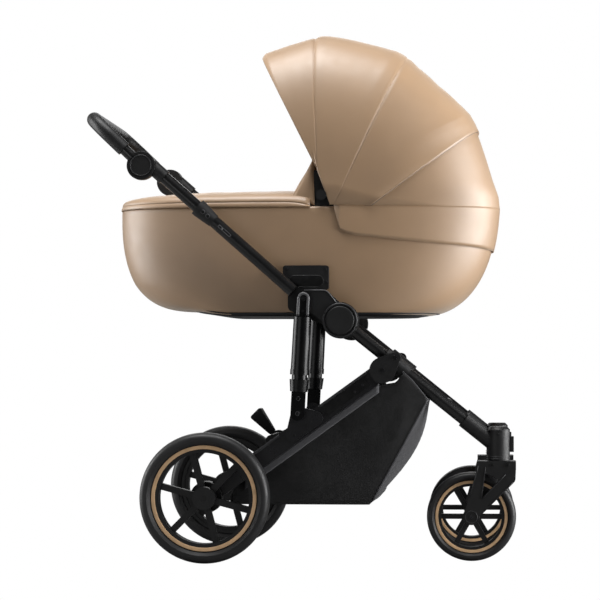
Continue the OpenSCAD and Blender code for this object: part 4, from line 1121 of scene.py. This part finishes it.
def strip_point(k, s):
    x, z = path[k]
    d = sling_sag(x, z, s)
    if front_from <= k < front_to:
        x, z = basket_front((k - front_from + 1) / FRONT_STEPS, s)
        x += d
    elif k < front_from and z < BASKET_Z + FLOOR_ZONE:
        z += abs(d)
    elif k < front_from:
        x += d
    return (x, BASKET_HALF * s, z)


across_shares = [math.sin(math.pi / 2 * (i / 20 - 1)) for i in range(41)]
strip_rows = [[strip_point(k, s) for s in across_shares] for k in range(len(path))]
basket_strip = grid_sheet("basket_strip", strip_rows, basket_cloth, BASKET_THICK, 1.0)
basket_strip.data.materials.append(basket_front_cloth)
for p in basket_strip.data.polygons:
    if p.center.x > FLOOR_END and p.center.z > BASKET_Z + FRONT_UP:
        p.material_index = 1
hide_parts("basket")
print("basket strip rows:", len(strip_rows))

# %% [markdown]
# Each side is one sheet between the floor line and the top line, with soft waves that die out at its
# edges. A lighter binding runs under each tube, and piping covers the seams at the front corners and
# along the top.

# %% Basket sides, bindings and hems
TOP_BACK, TOP_DIP, SIDE_FADE, BIND_OFF = (0.150, 0.376), (0.207, 0.385), 0.05, 0.0032
BIND_FROM, BIND_TO, BIND_DROPS = -0.118, 0.172, (0.023, 0.028, 0.033, 0.038, 0.0425)
BIND_THICK, TOP_HEM_R, CORNER_R, SIDE_IN_BY, NOSE_SHORT = 0.0022, 0.0024, 0.0014, 0.001, 0.0006


def basket_top(x):
    if x < BACK_TOP_X:
        return mix(BASKET_Z + FLOOR_ROUND, back_top[1], (x - BACK_X) / (BACK_TOP_X - BACK_X))
    line = (back_top, TOP_BACK, TOP_DIP, TOP_B, TOP_A, NOSE)
    return float(np.interp(x, [p[0] for p in line], [p[1] for p in line]))


def basket_low(x):
    share = max(0.0, (x - FRONT_FOOT) / (NOSE[0] - FRONT_FOOT))
    return BASKET_Z + FLOOR_UP + share * (NOSE[1] - BASKET_Z)


def side_point(side, x, v):
    edge = min(1, (x - BACK_X) / SIDE_FADE, max(0.0, (NOSE[0] - x) / SIDE_FADE))
    wave = 0.0035 + 0.0016 * math.sin(34 * x + 3 * v) + 0.0012 * math.sin(19 * x - 9 * v)
    y = BASKET_HALF + wave * math.sin(math.pi * v) * edge - SIDE_IN_BY
    return (x, side * y, mix(basket_low(x), basket_top(x), v))


nose = [basket_front(t / FRONT_STEPS) for t in range(1, FRONT_STEPS + 1)]
top_line = [(TOP_B[0], BASKET_HALF * (i / 20 - 1), TOP_B[1]) for i in range(41)]
hems = [piping("basket_front_hem", top_line, TOP_HEM_R, binding_cloth)]
basket_sides, bindings = {}, {}
for side, word in SIDES:
    stations = [mix(BACK_X, NOSE[0] - NOSE_SHORT, i / 60) for i in range(61)]
    rows = [[side_point(side, x, j / 28) for j in range(29)] for x in stations]
    basket_sides[word] = grid_sheet("basket_side_" + word, rows, basket_cloth, BASKET_THICK, 0.0)
    stations = [mix(BIND_FROM, BIND_TO, i / 40) for i in range(41)]
    rows = [[(x, side * (BASKET_HALF + BIND_OFF), leg_z(x) - drop) for drop in BIND_DROPS] for x in stations]
    bindings[word] = grid_sheet("basket_binding_" + word, rows, binding_cloth, BIND_THICK, 0.0)
    corner = [(x, side * BASKET_HALF, z) for x, z in nose]
    hems.append(piping("basket_corner_" + word, corner, CORNER_R, basket_front_cloth))
for obj in [basket_strip, *basket_sides.values(), *bindings.values(), *hems]:
    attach(obj, "rear_leg")
cloth(basket_strip)
for side, word in SIDES:
    cloth(basket_sides[word])
    cloth(bindings[word])
print("basket pieces:", 1 + len(basket_sides) + len(bindings) + len(hems))

# %% [markdown]
# Small trim comes last. Four more builders make it: a dished disc for screws and dots, a flat plate with
# a rounded outline, a ring, and a line in side view that is set at one side of the pram. All trim rides
# on the body it belongs to.


# %% Builders for trim
def circle(count):
    return [2 * math.pi * k / count for k in range(count)]


def at_side(line, y):
    return [(x, y, z) for x, z in line]


def disc(name, at, size, side, material, sides=40):
    """A round head: size is its radius, its depth and how far its face is dished."""
    x, y, z = at
    radius, depth, dish = size
    profile = [(radius, 0.0), (radius, depth * 0.7), (radius * 0.94, depth), (radius * 0.6, depth - dish),
               (radius * 0.2, depth - dish)]
    turns = circle(sides)
    rings = [[(x + r * math.cos(a), y + side * d, z + r * math.sin(a)) for a in turns] for r, d in profile]
    return ring_skin(name, rings, material, True, True)


def ring(name, centre, size, material, count=48):
    """A ring that faces sideways: size is its radius and the radius of its section."""
    x, y, z = centre
    radius, thick = size
    line = [(x + radius * math.cos(a), y, z + radius * math.sin(a)) for a in circle(count)]
    return piping(name, line, thick, material, True)


def plate(name, outline, y, depth, side, material):
    cx = sum(p[0] for p in outline) / len(outline)
    cz = sum(p[1] for p in outline) / len(outline)
    levels = ((1.0, 0.0), (1.0, depth * 0.6), (0.97, depth))
    rings = [[(cx + (x - cx) * k, y + side * d, cz + (z - cz) * k) for x, z in outline] for k, d in levels]
    return ring_skin(name, rings, material, True, True)


def rounded(x0, z0, x1, z1, r, steps=6):
    points = []
    corners = ((x1 - r, z1 - r, 0), (x0 + r, z1 - r, 90), (x0 + r, z0 + r, 180), (x1 - r, z0 + r, 270))
    for cx, cz, a0 in corners:
        for i in range(steps + 1):
            a = math.radians(a0 + 90 * i / steps)
            points.append((cx + r * math.cos(a), cz + r * math.sin(a)))
    return points


def on(body, *objs):
    for obj in objs:
        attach(obj, body)


def outer_y(node):
    obj = nodes[node]
    return max((obj.matrix_world @ Vector(c)).y for c in obj.bound_box)


# The three greys below are lighter than the black around them and paint highlights: the lips, rims and edge
# lines, the ribs, rings and collars, and the band along the rear tube's upper edge.
lip_highlight_grey = moulded_plastic("lip_highlight_grey", srgb(92, 92, 94), 0.34, 0.44)
rib_highlight_grey = moulded_plastic("rib_highlight_grey", srgb(40, 40, 42), 0.4, 0.5)
band_highlight_grey = moulded_plastic("band_highlight_grey", srgb(52, 52, 54), 0.45, 0.55)
print("trim builders ready")

# %% [markdown]
# Each seat adapter has a long slot with a raised lip, and three screws. The slot is not cut into the
# mesh; a near-black plate inside the lip is painted shade where its hollow would be, and leaves the solid
# as it is.

# %% Seat adapters
ADAPTER_Y = 0.2297
# The plate in this outline is painted shade in place of the slot's hollow.
SLOT = (-0.021, 0.5925, 0.052, 0.6165, 0.0118)
LIP = (-0.0215, 0.592, 0.0525, 0.617, 0.0122)
SLOT_DEPTH, LIP_R = 0.0006, 0.0009
ADAPTER_SCREW, ADAPTER_SCREWS = (0.0034, 0.0012, 0.0008), ((-0.027, 0.633), (0.057, 0.6315), (0.0585, 0.603))
for side, word in SIDES:
    y = side * ADAPTER_Y
    on("bassinet", plate("adapter_slot_" + word, rounded(*SLOT), y, SLOT_DEPTH, side, plate_black),
       piping("adapter_slot_lip_" + word, at_side(rounded(*LIP), y), LIP_R, black_plastic, True))
    for k, (x, z) in enumerate(ADAPTER_SCREWS):
        name = "adapter_screw_%s_%d" % (word, k)
        on("bassinet", disc(name, (x, y, z), ADAPTER_SCREW, side, dark_steel))
print("adapter screws:", 2 * len(ADAPTER_SCREWS))

# %% [markdown]
# Struts and tubes lean, so their trim is placed along and across them. A line from two points gives both
# directions. The strut's upper eye has a light grey lip in the shape of a U, a painted highlight on its
# edge, and its lower lug has two screws, each in a light grey ring that paints the highlight on its rim.

# %% Struts
STRUT_TOP, STRUT_FOOT, STRUT_Y = (0.012, 0.567), (-0.001, 0.320), 0.2662
EYE_R, EYE_RUN, EYE_LIP_R, EYE_DOT_AT = 0.0102, 0.038, 0.0032, 0.027
EYE_PIN, EYE_DOT = (0.0050, 0.0016, 0.001), (0.0026, 0.0010, 0.0006)
LUG_SCREW, LUG_RIM, LUG_SCREWS = (0.0034, 0.0010, 0.0008), (0.0042, 0.0005), (0.2150, 0.2470)


def unit(a, b):
    d = math.dist(a, b)
    return ((b[0] - a[0]) / d, (b[1] - a[1]) / d)


def placer(a, b):
    """A function that gives the point so far along the line from a to b, and so far across it."""
    u = unit(a, b)
    n = (-u[1], u[0])
    return lambda along, across: (a[0] + u[0] * along + n[0] * across, a[1] + u[1] * along + n[1] * across)


strut_at = placer(STRUT_TOP, STRUT_FOOT)
eye_turn = [math.pi * i / 14 for i in range(1, 14)]
eye = [strut_at(EYE_RUN * (1 - i / 8), EYE_R) for i in range(9)]
eye += [strut_at(-EYE_R * math.sin(a), EYE_R * math.cos(a)) for a in eye_turn]
eye += [strut_at(EYE_RUN * i / 8, -EYE_R) for i in range(9)]
# The grey lip and rims paint the highlights on the strut's edges.
for side, word in SIDES:
    y = side * STRUT_Y
    pin, dot = at_side([strut_at(0.0, 0.0), strut_at(EYE_DOT_AT, 0.0)], y)
    on("strut_upper_" + word, piping("strut_eye_lip_" + word, at_side(eye, y), EYE_LIP_R, lip_highlight_grey, sides=12),
       disc("strut_eye_pin_" + word, pin, EYE_PIN, side, dark_steel),
       disc("strut_eye_dot_" + word, dot, EYE_DOT, side, plate_black))
    for k, at in enumerate(at_side([strut_at(along, 0.0) for along in LUG_SCREWS], y)):
        mark = "%s_%d" % (word, k)
        screw = disc("strut_lug_screw_" + mark, at, LUG_SCREW, side, plate_black)
        on("strut_lower_" + word, screw, ring("strut_lug_rim_" + mark, at, LUG_RIM, lip_highlight_grey, 24))
print("strut trim made")

# %% [markdown]
# The release sleeve carries two dots, each in a light grey ring that paints the highlight on its rim.
# Below it, the upper tube shows a short slot with a pin in it. The slot is a light grey line of painted
# highlight along its edge: two straight runs and two half circles, drawn as one closed line.

# %% Fold release
TUBE_FROM, TUBE_TO, TUBE_Y = (0.090, 0.493), (-0.339, 0.872), 0.250
RELEASE_DOTS, DOT_OUT, DOT_RIM_OUT = (0.3790, 0.3930), 0.0168, 0.0178
RELEASE_DOT, RELEASE_RIM, RELEASE_PIN = (0.0038, 0.0020, 0.0012), (0.0042, 0.0005), (0.0022, 0.0018, 0.0008)
SLOT_FROM, SLOT_RUN, SLOT_R, SLOT_Y, SLOT_EDGE = 0.317, 0.029, 0.0026, 0.2633, 0.0007
SLOT_TO = SLOT_FROM + SLOT_RUN
PIN_AT, PIN_Y = 0.338, 0.2630

tube_at = placer(TUBE_FROM, TUBE_TO)
half_turn = [math.pi * i / 6 for i in range(1, 6)]
slot = [tube_at(SLOT_FROM + SLOT_RUN * i / 6, SLOT_R) for i in range(7)]
slot += [tube_at(SLOT_TO + SLOT_R * math.sin(a), SLOT_R * math.cos(a)) for a in half_turn]
slot += [tube_at(SLOT_TO - SLOT_RUN * i / 6, -SLOT_R) for i in range(7)]
slot += [tube_at(SLOT_FROM - SLOT_R * math.sin(a), -SLOT_R * math.cos(a)) for a in half_turn]
# The grey rims and the slot line are painted highlights on those edges.
for side, word in SIDES:
    for k, along in enumerate(RELEASE_DOTS):
        x, z = tube_at(along, 0.0)
        mark = "%s_%d" % (word, k)
        dot, rim = ((x, side * (TUBE_Y + out), z) for out in (DOT_OUT, DOT_RIM_OUT))
        on("release_" + word, disc("release_dot_" + mark, dot, RELEASE_DOT, side, plate_black),
           ring("release_dot_rim_" + mark, rim, RELEASE_RIM, lip_highlight_grey, 24))
    x, z = tube_at(PIN_AT, 0.0)
    on("upper_frame", piping("release_slot_" + word, at_side(slot, side * SLOT_Y), SLOT_EDGE, lip_highlight_grey, True),
       disc("release_pin_" + word, (x, side * PIN_Y, z), RELEASE_PIN, side, pin_steel))
print("release trim made")

# %% [markdown]
# A round cap reads as round when its edge has a rim. Each fold cap gets a raised rim and a dished face,
# each tilt button a fine ring, and each fold housing a light line along its upper edge. The rims and rings
# are a lighter grey and the housing's line is lighter still: painted highlights on those edges.

# %% Caps and buttons
FOLD, TILT, CHEEK_IN, RIM_IN = (0.090, 0.520), (-0.339, 0.854), 0.0068, 0.0034
CAP_RIM, CAP_DISH, TILT_RING, EDGE_R = (0.0352, 0.0026), (0.0300, 0.0012, 0.0010), (0.0222, 0.0010), 0.0012
HOUSING_HIGHLIGHT = [(0.012, 0.5846), (0.040, 0.5848), (0.057, 0.5846), (0.0625, 0.5822), (0.0662, 0.578),
                (0.084, 0.5555)]
# Grey rims, rings and the housing's line are painted highlights on those edges.
for side, word in SIDES:
    cap_y = outer_y("fold_caps")
    rim_at, dish_at = (FOLD[0], side * (cap_y - RIM_IN), FOLD[1]), (FOLD[0], side * cap_y, FOLD[1])
    edge = at_side(HOUSING_HIGHLIGHT, side * (cap_y - CHEEK_IN))
    on("frame", ring("fold_cap_rim_" + word, rim_at, CAP_RIM, rib_highlight_grey, 64),
       disc("fold_cap_dish_" + word, dish_at, CAP_DISH, side, soft_black, 64),
       piping("housing_highlight_" + word, edge, EDGE_R, lip_highlight_grey))
    button_at = (TILT[0], side * outer_y("tilt_button_left"), TILT[1])
    on("button_" + word, ring("tilt_ring_" + word, button_at, TILT_RING, rib_highlight_grey, 56))
print("cap trim made")

# %% [markdown]
# Each fork is two tapered bars that meet at the axle. A rib runs along each side of each bar, and a boss,
# a nut and two screws mark where it is held. The caster housing above it has three fine collars and a
# dot. The ribs, the boss ring and the collars are a lighter grey, which paints the highlight on their edges.

# %% Forks and casters
WHEEL, FORK_BACK, FORK_NOSE, FORK_SCREW_Z = (0.370, 0.0965), (0.393, 0.205), (0.452, 0.180), 0.2095
FORK_RIBS = ((FORK_BACK, 0.0155, 0.0078, 1), (FORK_BACK, 0.0155, 0.0078, -1),
             (FORK_NOSE, 0.0105, 0.0115, 1), (FORK_NOSE, 0.0105, 0.0115, -1))
FORK_BOSS, FORK_NUT, RIB_R = (0.0128, 0.0008), (0.0036, 0.0012, 0.0008), 0.0008
FORK_SCREWS = ((0.447, (0.0046, 0.0012, 0.0010)), (0.414, (0.0034, 0.0012, 0.0010)))
CASTER, CASTER_R, COLLARS, COLLAR_R = (0.428, 0.165), 0.0245, (0.2215, 0.2260, 0.2835), 0.0009
CASTER_DOT, CASTER_DOT_AT = (0.0028, 0.0010, 0.0), (CASTER[0] - 0.001, CASTER[1] + 0.0243, 0.2755)


def taper_edge(a, ra, b, rb, side):
    """A line along one side of a bar that tapers from radius ra at a to rb at b, clear of the first end."""
    u = unit(a, b)
    n = (-u[1] * side, u[0] * side)
    return [(mix(a[0] + n[0] * ra, b[0] + n[0] * rb, t / 8), mix(a[1] + n[1] * ra, b[1] + n[1] * rb, t / 8))
            for t in range(3, 9)]


def collar_line(side, z):
    turns = circle(48)
    return [(CASTER[0] + CASTER_R * math.cos(a), side * CASTER[1] + CASTER_R * math.sin(a), z) for a in turns]


# The grey ribs, boss ring and collars paint highlights on their edges.
for side, word in SIDES:
    y = side * outer_y("fork_left")
    hub = (WHEEL[0], y, WHEEL[1])
    on("caster_" + word, ring("fork_boss_" + word, hub, FORK_BOSS, rib_highlight_grey),
       disc("fork_nut_" + word, hub, FORK_NUT, side, dark_steel))
    for k, (end, r0, r1, hand) in enumerate(FORK_RIBS):
        line = at_side(taper_edge(WHEEL, r0, end, r1, hand), y)
        on("caster_" + word, piping("fork_rib_%s_%d" % (word, k), line, RIB_R, rib_highlight_grey))
    for k, (x, size) in enumerate(FORK_SCREWS):
        name = "fork_screw_%s_%d" % (word, k)
        on("caster_" + word, disc(name, (x, y, FORK_SCREW_Z), size, side, plate_black))
    x, y, z = CASTER_DOT_AT
    on("frame", disc("caster_dot_" + word, (x, side * y, z), CASTER_DOT, side, plate_black))
    for k, z in enumerate(COLLARS):
        on("frame", piping("caster_collar_%s_%d" % (word, k), collar_line(side, z), COLLAR_R, rib_highlight_grey, True))
print("fork and caster trim made")

# %% [markdown]
# The rear tube has a lighter band along its upper edge, broken where the strut stands on it: a painted
# highlight. Screws hold its side plate and the strut's foot.

# %% Rear legs
LEG = unit(SWING, LEG_END)
LEG_N = (LEG[1], -LEG[0])
PLATE_SCREWS = ((0.1375, 0.3815), (0.1205, 0.3665))
FOOT_SCREWS, FOOT_Y = ((0.0175, 0.2950), (-0.0085, 0.2735)), 0.2542
LEG_SCREW, BAND_THICK = (0.0030, 0.0010, 0.0008), 0.0010
LEG_HIGHLIGHT_BANDS, BAND_UPS, BAND_Y = ((0.030, 0.158), (0.262, 0.360)), (0.0130, 0.0150, 0.0170, 0.0186), 0.2384


def leg_at(run, up):
    return (SWING[0] + LEG[0] * run + LEG_N[0] * up, SWING[1] + LEG[1] * run + LEG_N[1] * up)


for side, word in SIDES:
    for k, (x, z) in enumerate(PLATE_SCREWS):
        at = (x, side * outer_y("side_plates"), z)
        on("rear_leg", disc("plate_screw_%s_%d" % (word, k), at, LEG_SCREW, side, dark_steel))
    for k, (x, z) in enumerate(FOOT_SCREWS):
        at = (x, side * FOOT_Y, z)
        on("rear_leg", disc("foot_screw_%s_%d" % (word, k), at, LEG_SCREW, side, plate_black))
    # Light grey strips along the tube's upper edge, a painted highlight.
    for k, (start, stop) in enumerate(LEG_HIGHLIGHT_BANDS):
        runs = [mix(start, stop, i / 20) for i in range(21)]
        rows = [at_side([leg_at(run, up) for run in runs], side * BAND_Y) for up in BAND_UPS]
        on("rear_leg", grid_sheet("leg_highlight_band_%s_%d" % (word, k), rows, band_highlight_grey, BAND_THICK, 0.0))
print("rear leg trim made")

# %% [markdown]
# The grip is leatherette sewn round the handle bar. A seam runs along its inside with a row of stitches
# on each side. Both follow the bar: two arms, two bends and the straight middle.

# %% Line along the grip
BAR, ARM_Y, BEND, GRIP_FROM = (-0.450, 0.960), 0.25765, 0.062, 0.054
gu = unit(TILT, BAR)
gn = (-gu[1], gu[0])
ARM = math.dist(TILT, BAR)


def grip_line(angle, radius, count=160):
    quarter = BEND * math.pi / 2
    lengths = [ARM - BEND - GRIP_FROM, quarter, 2 * (ARM_Y - BEND), quarter, ARM - BEND - GRIP_FROM]
    total = sum(lengths)
    out = []
    for i in range(count + 1):
        d = total * i / count
        mirror = 1
        if d > total / 2:
            d, mirror = total - d, -1
        if d < lengths[0]:
            run, y, lateral = GRIP_FROM + d, ARM_Y, (0.0, 1.0)
        elif d < lengths[0] + quarter:
            c = (d - lengths[0]) / BEND
            run, y = ARM - BEND + BEND * math.sin(c), ARM_Y - BEND + BEND * math.cos(c)
            lateral = (math.sin(c), math.cos(c))
        else:
            run, y, lateral = ARM, ARM_Y - BEND - (d - lengths[0] - quarter), (1.0, 0.0)
        ca, sa = math.cos(angle) * radius, math.sin(angle) * radius
        along = run + lateral[0] * ca
        x = TILT[0] + gu[0] * along + gn[0] * sa
        z = TILT[1] + gu[1] * along + gn[1] * sa
        out.append((x, mirror * (y + lateral[1] * ca), z))
    return out


print("handle arm:", round(ARM, 4))

# %% [markdown]
# A stitch is a short thread, thick in the middle and thin at both ends where it goes into the
# leatherette. All stitches of a row are one mesh, because an object for each would only slow the scene
# down.

# %% Grip seam and stitches
GRIP_R, GRIP_SEAM_R, SEAM_TURN, STITCH_TURN, STITCH_LIFT = 0.0160, 0.0007, math.radians(140), 0.17, 0.0002
STITCH, STITCH_GAP, STITCH_R = 0.005, 0.0035, 0.0006


def stitches(name, line, material):
    pts = [Vector(p) for p in line]
    steps = [0.0]
    for a, b in zip(pts, pts[1:]):
        steps.append(steps[-1] + (b - a).length)

    def at(d):
        i = min(max(int(np.searchsorted(steps, d)), 1), len(pts) - 1)
        span = steps[i] - steps[i - 1] or 1e-9
        return pts[i - 1].lerp(pts[i], (d - steps[i - 1]) / span)

    points, faces = [], []
    d = STITCH_GAP
    while d + STITCH < steps[-1]:
        a, b = at(d), at(d + STITCH)
        u, v = square_to((b - a).normalized())
        base = len(points)
        for q, k in ((a, 0.5), (a.lerp(b, 0.5), 1.0), (b, 0.5)):
            for c in circle(5):
                points.append(tuple(q + STITCH_R * k * (math.cos(c) * u + math.sin(c) * v)))
        for r in (base, base + 5):
            for w in range(5):
                n = (w + 1) % 5
                faces.append((r + w, r + n, r + 5 + n, r + 5 + w))
        faces.append(tuple(base + w for w in range(4, -1, -1)))
        faces.append(tuple(base + 10 + w for w in range(5)))
        d += STITCH + STITCH_GAP
    return add_object(name, points, faces, material)


on("handle", piping("grip_seam", grip_line(SEAM_TURN, GRIP_R), GRIP_SEAM_R, plate_black, sides=6))
for k, turn in enumerate((-STITCH_TURN, STITCH_TURN)):
    line = grip_line(SEAM_TURN + turn, GRIP_R + STITCH_LIFT)
    on("handle", stitches("grip_stitches_%d" % k, line, grip_thread))
print("grip trim made")
